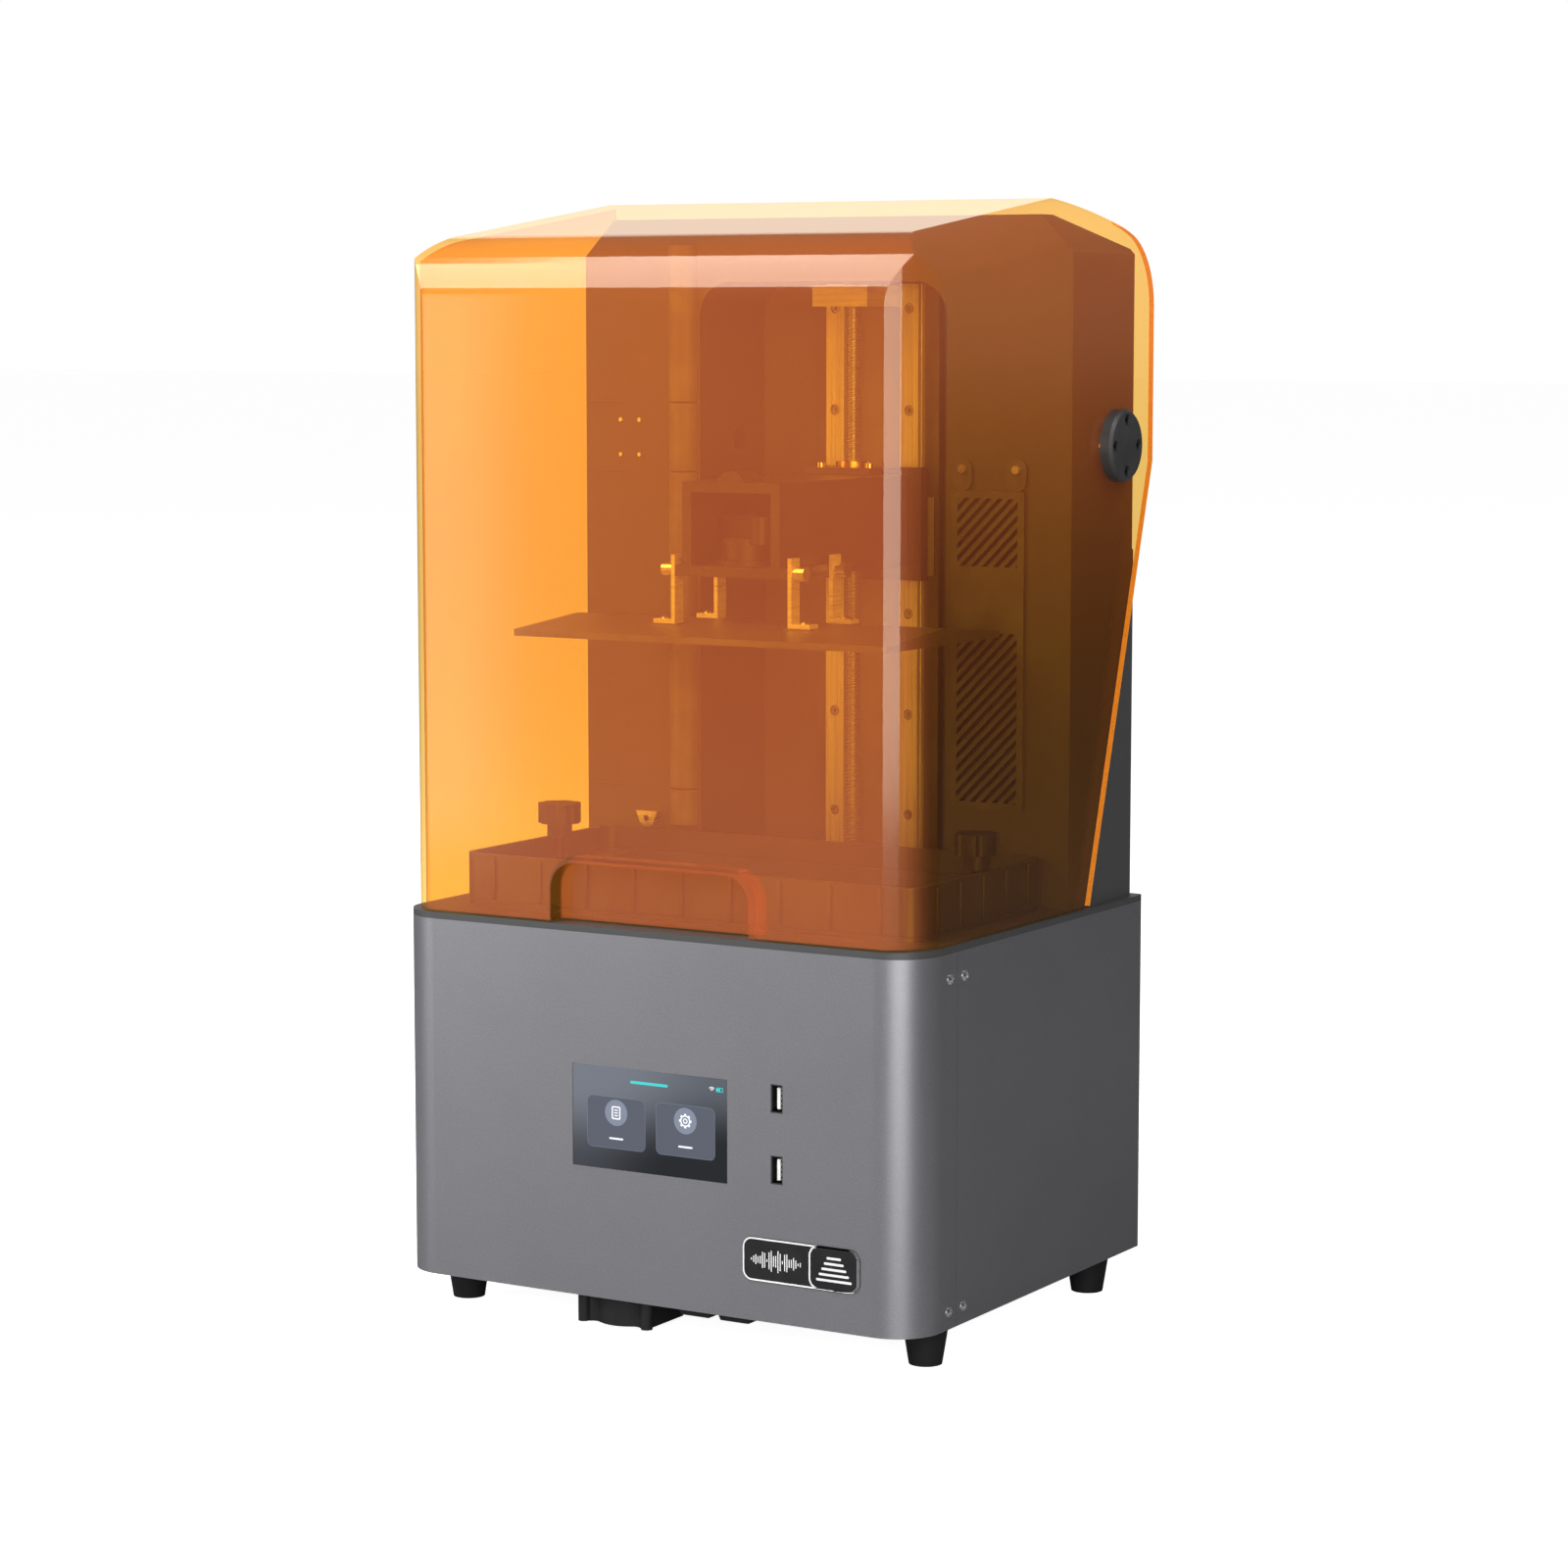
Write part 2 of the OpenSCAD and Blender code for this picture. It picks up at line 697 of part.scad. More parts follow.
module screw_coupler() {
    color([0.7, 0.7, 0.75]) translate([0, screw_y, coupler_low]) difference() {
        cylinder(h = coupler_h, r = coupler_r);
        translate([0, 0, -eps]) cylinder(h = lead_low - coupler_low + eps, r = 2.5);
        translate([0, 0, lead_low - coupler_low - 0.01]) cylinder(h = coupler_h, r = screw_d / 2);
    }
}

module rail_blocks() {
    color([0.78, 0.78, 0.8]) for (s = [-1, 1]) translate([s * rail_pitch / 2, 0, 0]) difference() {
        block([-block_w / 2, carriage_front + carriage_t, carriage_z + 2],
            [block_w / 2, slab_front - 2, carriage_z + 2 + block_l]);
        block([-rail_w / 2 - block_gap, rail_front - block_gap, carriage_z],
            [rail_w / 2 + block_gap, slab_front, carriage_z + 4 + block_l]);
    }
}

module carriage_plate() {
    color([0.16, 0.16, 0.17]) {
        block([-carriage_hw, carriage_front, carriage_z],
            [carriage_hw, carriage_front + carriage_t, carriage_z + carriage_h]);
        difference() {
            block([-nut_bracket_hw, screw_y - 15, carriage_z + carriage_h - nut_bracket_t],
                [nut_bracket_hw, carriage_front + eps, carriage_z + carriage_h]);
            translate([0, screw_y, carriage_z + carriage_h - nut_bracket_t - eps])
                cylinder(h = nut_bracket_t + 2 * eps, r = nut_r);
            both_sides() translate([16, screw_y - 9, carriage_z + carriage_h - nut_bracket_t - eps])
                cylinder(h = nut_bracket_t + 2 * eps, r = 1.5);
        }
    }
}

module screw_nut() {
    z = carriage_z + carriage_h;
    color([0.78, 0.6, 0.25]) translate([0, screw_y, 0]) difference() {
        union() {
            translate([0, 0, z - 16]) cylinder(h = 17, r = nut_r);
            translate([0, 0, z]) cylinder(h = 3.5, r = nut_r + 2.8);
        }
        translate([0, 0, z - 17]) cylinder(h = 22, r = screw_d / 2 + screw_gap);
    }
}

module platform_arm() {
    notch = screw_y - 17;
    color([0.2, 0.2, 0.21]) difference() {
        union() {
            block([-arm_hw, bracket_front, bracket_z + bracket_t], [arm_hw, carriage_front, arm_top]);
            block([-arm_hw, bracket_rear + 0.4, bracket_z], [arm_hw, carriage_front, arm_top]);
            rod_y(0, bracket_front, bracket_front + 20, arm_top - 3, 9);
        }
        block([-arm_hw + arm_t, bracket_front - eps, bracket_z + bracket_t - eps],
            [arm_hw - arm_t, carriage_front + eps, arm_top - arm_t]);
        block([-nut_bracket_hw - 1, notch, arm_top - arm_t - eps],
            [nut_bracket_hw + 1, carriage_front + eps, arm_top + eps]);
        translate([0, screw_y, bracket_z - eps]) cylinder(h = bracket_t + 2, r = 8);
    }
}

module leg_bracket() {
    color([0.2, 0.2, 0.21]) difference() {
        block([-bracket_hw, bracket_front, bracket_z],
            [bracket_hw, bracket_rear, bracket_z + bracket_t]);
        translate([0, bracket_front + 18, bracket_z - eps])
            cylinder(h = bracket_t + 2 * eps, r = 3 + pin_gap);
        both_sides() for (dy = leg_offsets)
            rod_x(bracket_hw - 12, bracket_hw + eps, plate_mid + dy, bracket_z + bracket_t / 2, 1.5);
    }
}

module platform_legs() {
    color([0.85, 0.85, 0.86]) both_sides() for (dy = leg_offsets)
        translate([bracket_hw, plate_mid + dy, foot_level]) difference() {
            union() {
                translate([0, -leg_w / 2, 0]) cube([leg_t, leg_w, leg_h]);
                translate([0, -leg_w / 2, 0]) cube([leg_reach, leg_w, leg_t]);
            }
            translate([leg_reach - 5, 0, -eps]) cylinder(h = leg_t + 2 * eps, r = 1.6);
            rod_x(-eps, leg_t + eps, 0, bracket_z + bracket_t / 2 - foot_level, 1.6);
        }
}

module platform_screws() {
    color([0.75, 0.75, 0.77]) both_sides() translate([16, screw_y - 9, carriage_z + carriage_h]) {
        cylinder(h = 2.6, r = 2.8);
        translate([0, 0, -nut_bracket_t]) cylinder(h = nut_bracket_t + 0.2, r = 1.5);
    }
    color([0.75, 0.75, 0.77]) both_sides() for (dy = leg_offsets) {
        translate([bracket_hw + leg_reach - 5, plate_mid + dy, foot_level + leg_t]) {
            intersection() {
                translate([0, 0, -2.2]) sphere(4);
                cylinder(h = 2, r = 3.3);
            }
            translate([0, 0, -5.4]) cylinder(h = 5.6, r = 1.5);
        }
        translate([bracket_hw + leg_t, plate_mid + dy, bracket_z + bracket_t / 2]) rotate([0, 90, 0]) {
            cylinder(h = 7, r = 4.2);
            translate([0, 0, -10]) cylinder(h = 10.2, r = 1.45);
        }
    }
}

module build_plate() {
    color([0.62, 0.62, 0.63]) difference() {
        union() {
            along_x(-plate_w / 2, plate_w / 2) polygon([
                [plate_front, plate_z], [plate_rear, plate_z], [plate_rear, plate_z + plate_edge],
                [plate_mid, plate_z + plate_edge + plate_rise], [plate_front, plate_z + plate_edge]]);
            both_sides() for (dy = leg_offsets)
                block([bracket_hw - 2, plate_mid + dy - leg_w / 2 - 1, plate_z + 1],
                    [bracket_hw + leg_reach + 1, plate_mid + dy + leg_w / 2 + 1, foot_level]);
        }
        both_sides() for (dy = leg_offsets)
            translate([bracket_hw + leg_reach - 5, plate_mid + dy, foot_level - 4])
                cylinder(h = 6, r = 1.5);
    }
}

module platform_knob() {
    z = bracket_z + bracket_t + 0.3;
    color([0.1, 0.1, 0.1]) translate([0, bracket_front + 18, 0]) {
        translate([0, 0, z]) cylinder(h = 2.5, r = 17);
        translate([0, 0, z + 2]) cylinder(h = 13, r = 14);
        rotate(-28) translate([0, 0, z + 12]) {
            block([-15, -6.5, 0], [15, 6.5, 15]);
            for (s = [-1, 1]) translate([s * 15, 0, 0]) cylinder(h = 15, r = 6.5);
        }
        translate([0, 0, z - bracket_t]) cylinder(h = bracket_t + 1, r = 3);
    }
}

// ---------------------------------------------------------------- column

// Body of the column without its hollow, set in by a distance
module column_body(inset) {
    hw = column_hw - inset;
    top = column_top - inset;
    intersection() {
        along_y(column_front + inset, column_rear) polygon([
            [-hw, top_z], [hw, top_z], [hw, column_low_top - inset],
            [hw - chamfer_w, top], [-hw + chamfer_w, top], [-hw, column_low_top - inset]]);
        along_x(-hw, hw) polygon([
            [column_front + inset, top_z], [column_front + inset, top],
            [column_front + ridge_back, top],
            [column_rear, top - rear_drop * (column_d - ridge_back)], [column_rear, top_z]]);
    }
}

module column_shell() {
    color([0.25, 0.25, 0.26]) difference() {
        union() {
            difference() {
                column_body(0);
                difference() {
                    translate([0, 0, -eps]) column_body(column_t);
                    along_y(column_front, column_rear - back_t)
                        round_top(channel_hw + column_t, top_z - 1, channel_top + column_t, channel_r);
                }
            }
            both_sides() along_x(column_hw - eps, column_hw + wing_t) polygon([
                [slant_foot - 10, top_z], [column_rear, top_z], [column_rear, slant_top - 50],
                [cover_rear - 28, slant_top - 40]]);
        }
        along_y(column_front - eps, column_rear + eps)
            round_top(channel_hw, top_z - 1, channel_top, channel_r);
        block([-column_hw + column_t + 2, column_rear - back_t, top_z - 1],
            [column_hw - column_t - 2, column_rear + eps, top_z + 350]);
        rod_x(-column_hw - eps, column_hw + eps, hinge_y, hinge_z, pin_r + 1);
        rod_y(nozzle_x, column_front - eps, column_front + column_t + eps, nozzle_z, nozzle_r);
        block([88, column_front - eps, top_z + 56], [128, column_front + column_t + eps, top_z + 230]);
    }
}

module column_back() {
    color([0.22, 0.22, 0.23]) difference() {
        block([-column_hw + column_t + 2.3, column_rear - back_t, top_z],
            [column_hw - column_t - 2.3, column_rear, top_z + 349.5]);
        for (x = [-36 : 12 : 36], z = [40 : 40 : 280])
            block([x - 2, column_rear - back_t - eps, top_z + z],
                [x + 2, column_rear + eps, top_z + z + 26]);
    }
}

// Half-round conduit down the column's left half, in four lengths
module column_rib() {
    levels = [top_z + vat_h + 3, top_z + 53.5, top_z + 238.5, top_z + 278.5, top_z + 369];
    color([0.27, 0.27, 0.28]) for (k = [0 : 3]) intersection() {
        translate([-92.6, column_front + 4, levels[k] + 0.4])
            cylinder(h = levels[k + 1] - levels[k] - 0.8, r = 10.3);
        block([-110, column_front - 12, top_z], [-75, column_front, column_top]);
    }
}

module vent_grille() {
    x0 = 85;
    x1 = 131;
    z0 = top_z + 53.5;
    z1 = top_z + 231.5;
    color([0.24, 0.24, 0.25]) difference() {
        block([x0, column_front - 1.6, z0], [x1, column_front, z1]);
        for (area = [[z0 + 4, z0 + 99], [z0 + 136, z1 - 4]]) intersection() {
            block([x0 + 4, column_front - 3, area[0]], [x1 - 4, column_front + 1, area[1]]);
            for (z = [area[0] - 44 : 7 : area[1]])
                translate([x0, column_front - 3, z]) rotate([0, -45, 0]) cube([80, 5, 2.4]);
        }
    }
}

module carbon_filter() {
    color([0.1, 0.1, 0.1]) block([89, column_front + column_t + 1, top_z + 58],
        [127, column_front + column_t + 19, top_z + 228]);
}

module hinge_housings() {
    color([0.12, 0.12, 0.12]) both_sides() difference() {
        block([column_hw - column_t - 14, hinge_y - 20, hinge_z - 20],
            [column_hw - column_t, hinge_y + 20, hinge_z + 20]);
        rod_x(column_hw - 30, column_hw + 1, hinge_y, hinge_z, pin_r + pin_gap);
    }
}

module hinge_pins() {
    color([0.6, 0.6, 0.62]) both_sides()
        rod_x(column_hw - column_t - 14, cover_hw + cap_t - 2.6, hinge_y, hinge_z, pin_r);
}

// ---------------------------------------------------------------- cover

// Side outline of the cover in Y and Z, set in by a distance, with its rear end left open or cut
module cover_side(inset, cut_rear) {
    tilt = sqrt(1 + cover_slope * cover_slope);
    r = cover_r - inset;
    y0 = cover_front + inset;
    bend_y = cover_front + cover_r;
    bend_z = round(100 * (ridge_z + cover_slope * (bend_y - ridge_y) - cover_r * tilt)) / 100;
    touch = [bend_y - r * cover_slope / tilt, bend_z + r / tilt];
    rear = cut_rear ? ridge_y : 300;
    rear_z = touch[1] + cover_slope * (rear - touch[0]);
    low = cut_rear ? cover_z : cover_z - 20;
    fall = sqrt(1 + rear_slope * rear_slope);
    turn_y = cover_rear - rear_bend_r;
    turn_z = ridge_z + rear_slope * (turn_y - ridge_y) - rear_bend_r * fall;
    rear_line = cut_rear ? [
        [turn_y - rear_bend_r * rear_slope / fall, turn_z + rear_bend_r / fall],
        [turn_y, turn_z], [cover_rear, turn_z], [cover_rear, slant_top], [slant_foot, low]]
        : [[300, low]];
    polygon(concat([[y0, low], [y0, bend_z], [bend_y, bend_z], touch, [rear, rear_z]], rear_line));
    translate([bend_y, bend_z]) circle(r);
    if (cut_rear) translate([turn_y, turn_z]) circle(rear_bend_r);
}

// What a bowed strip cuts off a right-hand upper corner, given the strip's centre from that corner
module strip_cut(centre, inset) {
    difference() {
        translate([-strip_r, -strip_r]) square(2 * strip_r);
        translate(-centre) circle(strip_r - inset);
        translate([-2 * strip_r, -2 * strip_r]) square([2 * strip_r - centre[0] + 10, 2 * strip_r]);
        translate([-2 * strip_r, -2 * strip_r]) square([2 * strip_r, 2 * strip_r - centre[1] + 3]);
    }
}

// Plan of the cover, set in by a distance
module cover_plan(inset) {
    difference() {
        translate([-cover_hw + inset, cover_front - spare])
            square([2 * (cover_hw - inset), 400]);
        for (side = [0, 1]) mirror([side, 0]) translate([cover_hw, cover_front]) mirror([0, 1])
            strip_cut(strip_side, inset);
    }
}

// Cross section of the cover below its sloping top, set in by a distance
module cover_section(inset) {
    difference() {
        translate([-cover_hw - spare, -500]) square([2 * (cover_hw + spare), 500 + spare]);
        for (side = [0, 1]) mirror([side, 0]) translate([cover_hw, 0]) strip_cut(strip_top, inset);
    }
}

module cover_solid(inset, cut_rear) {
    intersection() {
        along_x(-cover_hw - spare, cover_hw + spare) cover_side(inset, cut_rear);
        translate([0, 0, cover_z - 30]) linear_extrude(700) cover_plan(inset);
        translate([0, ridge_y, ridge_z]) rotate([atan(cover_slope), 0, 0])
            along_y(-400, 400) cover_section(inset);
    }
}

module cover_shell() {
    color([1, 0.55, 0.15, 0.5]) difference() {
        union() {
            difference() {
                cover_solid(0, true);
                cover_solid(cover_t, false);
            }
            intersection() {
                along_y(cover_front, cover_front + handle_in + cover_t)
                    round_top(handle_hw + cover_t, cover_z, cover_z + handle_h + cover_t,
                        handle_r + cover_t);
                block([-cover_hw, cover_front, cover_z], [cover_hw, 0, hinge_z]);
            }
        }
        along_y(cover_front - eps, cover_front + handle_in)
            round_top(handle_hw, cover_z - 5, cover_z + handle_h, handle_r);
        rod_x(-cover_hw - eps, cover_hw + eps, hinge_y, hinge_z, pin_r + 1);
        both_sides() for (a = [0 : 90 : 270])
            rod_x(cover_hw - cover_t - eps, cover_hw + eps, hinge_y + cap_screw_r * cos(a),
                hinge_z + cap_screw_r * sin(a), 1.5);
    }
}

module hinge_caps() {
    color([0.28, 0.28, 0.29]) both_sides() difference() {
        translate([cover_hw, hinge_y, hinge_z]) rotate([0, 90, 0]) union() {
            cylinder(h = cap_t - 1.6, r = cap_r);
            translate([0, 0, cap_t - 1.6]) cylinder(h = 1.6, r1 = cap_r, r2 = cap_r - 1.6);
        }
        rod_x(cover_hw - eps, cover_hw + cap_t - 2.6, hinge_y, hinge_z, pin_r);
        for (a = [0 : 90 : 270]) {
            y = hinge_y + cap_screw_r * cos(a);
            z = hinge_z + cap_screw_r * sin(a);
            rod_x(cover_hw - eps, cover_hw + cap_t + eps, y, z, 1.6);
            rod_x(cover_hw + cap_t - 4, cover_hw + cap_t + eps, y, z, 3.2);
        }
    }
}

module hinge_screws() {
    color([0.15, 0.15, 0.16]) both_sides() for (a = [0 : 90 : 270])
        translate([cover_hw, hinge_y + cap_screw_r * cos(a), hinge_z + cap_screw_r * sin(a)])
            rotate([0, 90, 0]) difference() {
                union() {
                    translate([0, 0, cap_t - 4]) cylinder(h = 3, r = 2.75);
                    translate([0, 0, -cover_t]) cylinder(h = cap_t, r = 1.5);
                }
                translate([0, 0, cap_t - 2.8]) cylinder(h = 3, r = 1.25, $fn = 6);
            }
}

// ---------------------------------------------------------------- vat

module feed_nozzle() {
    color([0.75, 0.75, 0.77]) difference() {
        union() {
            along_y(column_front - 6, column_front) translate([nozzle_x, nozzle_z])
                polygon([[-7.5, 4.5], [7.5, 4.5], [4, -4.5], [-3.5, -4.5]]);
            rod_y(nozzle_x, column_front - 0.5, column_front + column_t + 4, nozzle_z, nozzle_r);
        }
        rod_y(nozzle_x, column_front - 10, column_front + column_t + 5, nozzle_z, 1.8);
    }
}

module vat_outline(inset, r) {
    hw = vat_hw - inset;
    d = vat_rear - vat_front - 2 * inset;
    translate([0, (vat_front + vat_rear) / 2]) round_rect(2 * hw, d, r);
}

module vat_tray() {
    color([0.32, 0.32, 0.33]) difference() {
        translate([0, 0, film_z + film_t]) linear_extrude(top_z + vat_h - film_z - film_t)
            vat_outline(0, 10);
        translate([0, 0, ledge_z]) linear_extrude(vat_h) vat_outline(vat_t, 10 - vat_t);
        block([-opening_hw, opening_front, top_z], [opening_hw, opening_rear, ledge_z + 1]);
        both_sides() translate([knob_x, knob_y, top_z])
            cylinder(h = vat_h, r = knob_shaft_r + knob_gap);
    }
}

module release_film() {
    color([0.8, 0.85, 0.9, 0.4]) translate([0, (opening_front + opening_rear) / 2, film_z])
        linear_extrude(film_t)
            square([2 * opening_hw + 5, opening_rear - opening_front + 5], center = true);
}

module film_frame() {
    color([0.3, 0.3, 0.31]) difference() {
        translate([0, 0, top_z]) linear_extrude(film_z - top_z) vat_outline(0, 10);
        block([-opening_hw, opening_front, top_z - eps], [opening_hw, opening_rear, film_z + eps]);
        both_sides() translate([knob_x, knob_y, top_z - eps])
            cylinder(h = 5, r = knob_shaft_r + knob_gap);
    }
}

// Fluted thumb knob with its shaft, standing on the vat's rim
module thumb_knob() {
    rim = top_z + vat_h;
    cap = knob_d / 2;
    translate([knob_x, knob_y, 0]) {
        translate([0, 0, deck_z - 4]) cylinder(h = rim - deck_z + 5, r = knob_shaft_r);
        translate([0, 0, rim + knob_gap]) cylinder(h = 10, r = 7.2);
        translate([0, 0, rim + 8.5]) linear_extrude(11.5) difference() {
            circle(cap);
            for (a = [0 : 360 / 7 : 359]) rotate(a) translate([cap + 1.6, 0]) circle(3.4);
        }
    }
}

module vat_knob_left() {
    color([0.1, 0.1, 0.1]) mirror([1, 0, 0]) thumb_knob();
}

module vat_knob_right() {
    color([0.1, 0.1, 0.1]) thumb_knob();
}

front_panel();
rear_panel();
bottom_plate();
deck_plate();
feet();
foot_screws();
panel_screws();
display_glass();
display_module();
display_board();
usb_shells();
usb_tongues();
badge();
front_support();
underside_pads();
light_screen();
light_housing();
led_board();
heat_sink();
fan_frame();
fan_rotor();
main_board();
power_supply();
power_inlet();
switch_body();
power_rocker();
motor_bracket();
z_motor();
z_back_plate();
z_rails();
rail_screws();
top_bearing_block();
screw_bearing();
lead_screw();
screw_coupler();
rail_blocks();
carriage_plate();
screw_nut();
platform_arm();
leg_bracket();
platform_legs();
platform_screws();
build_plate();
platform_knob();
column_shell();
column_back();
column_rib();
vent_grille();
carbon_filter();
hinge_housings();
hinge_pins();
hinge_caps();
hinge_screws();
cover_shell();
feed_nozzle();
vat_tray();
release_film();
film_frame();
vat_knob_left();
vat_knob_right();
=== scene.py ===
"""Looks of a desktop resin printer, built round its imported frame."""

import math

import bmesh
import bpy
from bpy.props import FloatProperty, FloatVectorProperty, IntProperty, PointerProperty
from mathutils import Euler, Matrix, Vector


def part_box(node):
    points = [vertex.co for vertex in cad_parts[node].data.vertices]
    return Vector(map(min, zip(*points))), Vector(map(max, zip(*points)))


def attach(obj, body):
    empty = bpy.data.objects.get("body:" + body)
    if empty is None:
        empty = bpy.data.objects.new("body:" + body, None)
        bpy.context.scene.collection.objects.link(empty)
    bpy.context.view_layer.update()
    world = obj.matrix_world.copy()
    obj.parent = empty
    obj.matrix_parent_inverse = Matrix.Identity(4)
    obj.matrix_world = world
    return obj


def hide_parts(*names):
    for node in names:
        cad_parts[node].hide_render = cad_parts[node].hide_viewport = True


bl_info = {
    "name": "Resin printer looks",
    "version": (1, 0, 0),
    "blender": (4, 5, 0),
    "location": "View3D > Sidebar > Printer",
    "description": "Finishes, small parts and studio for a desktop resin printer",
    "category": "Object",
}

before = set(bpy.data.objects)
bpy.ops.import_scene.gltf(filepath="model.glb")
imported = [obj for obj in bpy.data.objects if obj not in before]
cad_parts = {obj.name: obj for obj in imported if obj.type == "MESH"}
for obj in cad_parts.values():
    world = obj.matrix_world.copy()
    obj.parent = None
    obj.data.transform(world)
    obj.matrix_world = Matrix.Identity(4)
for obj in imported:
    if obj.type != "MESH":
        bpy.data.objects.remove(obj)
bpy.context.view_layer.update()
MM = 0.001
FACING_USER = Matrix.Rotation(math.radians(90), 4, "X")   # flat work in XY turned to face -Y


def colour(name, value, description):
    """A colour property in linear RGB."""
    return FloatVectorProperty(name=name, description=description, subtype="COLOR", size=3,
                               default=value, min=0.0, max=1.0)


def length(name, value, description):
    """A length property in metres."""
    return FloatProperty(name=name, description=description, default=value, min=0.0, unit="LENGTH")


def share(name, value, description, top=1.0):
    """A plain factor property."""
    return FloatProperty(name=name, description=description, default=value, min=0.0, max=top)


# ---------------------------------------------------------------- properties

class PrinterPaint(bpy.types.PropertyGroup):
    """Painted sheet metal and mouldings."""

    body: colour("Body paint", (0.275, 0.272, 0.291), "Metallic powder coat of the base")
    deck: colour("Deck paint", (0.055, 0.055, 0.056), "Powder coat of the deck")
    column: colour("Column paint", (0.060, 0.060, 0.062), "Powder coat of the column")
    rubber: colour("Rubber", (0.012, 0.012, 0.013), "Rubber of the feet and rests")
    cap: colour("Hinge cap", (0.036, 0.036, 0.037), "Moulded hinge caps")
    black: colour("Black plastic", (0.014, 0.014, 0.015), "Knobs and small mouldings")
    flake: length("Flake size", 0.0007, "Distance between the bright flakes in the paint")


class PrinterCover(bpy.types.PropertyGroup):
    """The clear cover."""

    wall: colour("Wall tint", (0.99, 0.68, 0.17), "What one wall lets through")
    haze: colour("Haze", (1.0, 0.25, 0.11), "Colour that the acrylic scatters back")
    haze_share: share("Haze share", 0.095, "How much of the light the acrylic scatters")
    # Colour of the painted glow on the cut edges.
    rim: colour("Rim", (1.0, 0.60, 0.12), "Bright cut edges of the acrylic")
    # Painted glow: strength of the emission painted on the acrylic's front faces and upper part.
    glow: share("Glow", 0.55, "How strongly the acrylic fluoresces where it is best lit", 2.0)
    sheen: colour("Sheen", (1.0, 0.88, 0.72), "Colour of the acrylic's reflections")
    gloss: share("Gloss", 0.11, "Roughness of the polished acrylic")


class PrinterScreen(bpy.types.PropertyGroup):
    """Touch screen and badge."""

    glass: colour("Glass", (0.004, 0.005, 0.007), "Dark glass of the display")
    glow: colour("Glow", (0.17, 0.185, 0.22), "Lit background at the upper left of the display")
    card: colour("Card", (0.080, 0.090, 0.118), "Tiles on the display")
    icon: colour("Icon", (0.85, 0.87, 0.9), "Symbols on the display")
    accent: colour("Accent", (0.05, 0.62, 0.60), "Status marks on the display")
    picture_proud: length("Picture relief", 0.00005, "How far the picture stands off the glass")
    badge_line: length("Badge line", 0.0009, "Width of the badge's white outline")


class PrinterMetal(bpy.types.PropertyGroup):
    """Bare and anodised metal."""

    bright: colour("Nickel", (0.78, 0.77, 0.76), "Nickel-plated screws and legs")
    steel: colour("Steel", (0.70, 0.70, 0.71), "Ground rails and shafts")
    aluminium: colour("Aluminium", (0.56, 0.56, 0.57), "Machined aluminium")
    plate: colour("Build plate", (0.16, 0.16, 0.165), "Blasted and anodised build plate")
    slab: colour("Anodised slab", (0.13, 0.13, 0.135), "Anodised slab behind the rails")
    arm: colour("Anodised arm", (0.055, 0.055, 0.058), "Dark anodised arm and bracket")
    vat: colour("Anodised vat", (0.085, 0.085, 0.088), "Dark anodised vat")
    brass: colour("Brass", (0.66, 0.44, 0.14), "Brass lead nut")
    thread_depth: length("Thread depth", 0.0007, "Depth of the lead screw's thread")
    thread_lead: length("Thread lead", 0.008, "Travel of the nut in one turn")
    thread_starts: IntProperty(name="Thread starts", description="Starts of the lead screw",
                               default=4, min=1, max=8)


class PrinterStudio(bpy.types.PropertyGroup):
    """Camera, floor and lights."""

    turn: FloatProperty(name="Camera turn", description="Camera's angle round the printer",
                        default=math.radians(30.858), subtype="ANGLE")
    rise: FloatProperty(name="Camera rise", description="Camera's angle above the horizon",
                        default=math.radians(6.571), subtype="ANGLE")
    distance: length("Camera distance", 2.29, "From the camera to the point it aims at")
    lens: FloatProperty(name="Lens", description="Focal length", default=93.55, unit="CAMERA")
    aim: FloatVectorProperty(name="Aim", description="Point the camera looks at", size=3,
                             default=(0.00605, -0.0035, 0.2933), subtype="XYZ", unit="LENGTH")
    key: share("Key light", 86.0, "Power of the big light at the front left, in watts", 500.0)
    top: share("Top light", 2.0, "Power of the light above the right side, in watts", 500.0)
    edge: share("Edge light", 66.0, "Power of the broad light at the front right, in watts", 500.0)
    left: share("Left light", 14.0, "Power of the low light at the left, in watts", 500.0)
    back: share("Back light", 4.0, "Power of the light behind the printer, in watts", 500.0)
    ambient: share("Ambient", 0.07, "Strength of the studio's even light", 5.0)
    backdrop: share("Backdrop", 0.18, "Strength of the backdrop that shiny surfaces reflect", 5.0)
    floor: colour("Floor", (0.8, 0.8, 0.8), "Pale floor")


# ---------------------------------------------------------------- shader maths

class Wire:
    """A value or colour in a material, with the operators that its maths needs."""

    def __init__(self, graph, socket, is_colour=False):
        self.graph = graph
        self.socket = socket
        self.is_colour = is_colour

    def _math(self, operation, first, second=None):
        if self.is_colour:
            node = self.graph.add("ShaderNodeVectorMath", {"operation": operation},
                                  {0: first, 1: second})
            return Wire(self.graph, node.outputs[0], True)
        values = {0: first} if second is None else {0: first, 1: second}
        node = self.graph.add("ShaderNodeMath", {"operation": operation}, values)
        return Wire(self.graph, node.outputs[0])

    def __add__(self, other):
        return self._math("ADD", self, other)

    __radd__ = __add__

    def __sub__(self, other):
        return self._math("SUBTRACT", self, other)

    def __rsub__(self, other):
        return self._math("SUBTRACT", other, self)

    def __mul__(self, other):
        return self._math("MULTIPLY", self, other)

    __rmul__ = __mul__

    def below(self, other):
        return self._math("LESS_THAN", self, other)

    def size(self):
        return self._math("ABSOLUTE", self)

    def soft(self, low, high):
        """0 below low, 1 above high and a smooth step between them."""
        node = self.graph.add("ShaderNodeMapRange", {"interpolation_type": "SMOOTHSTEP"},
                              {0: self, 1: low, 2: high, 3: 0.0, 4: 1.0})
        return Wire(self.graph, node.outputs[0])


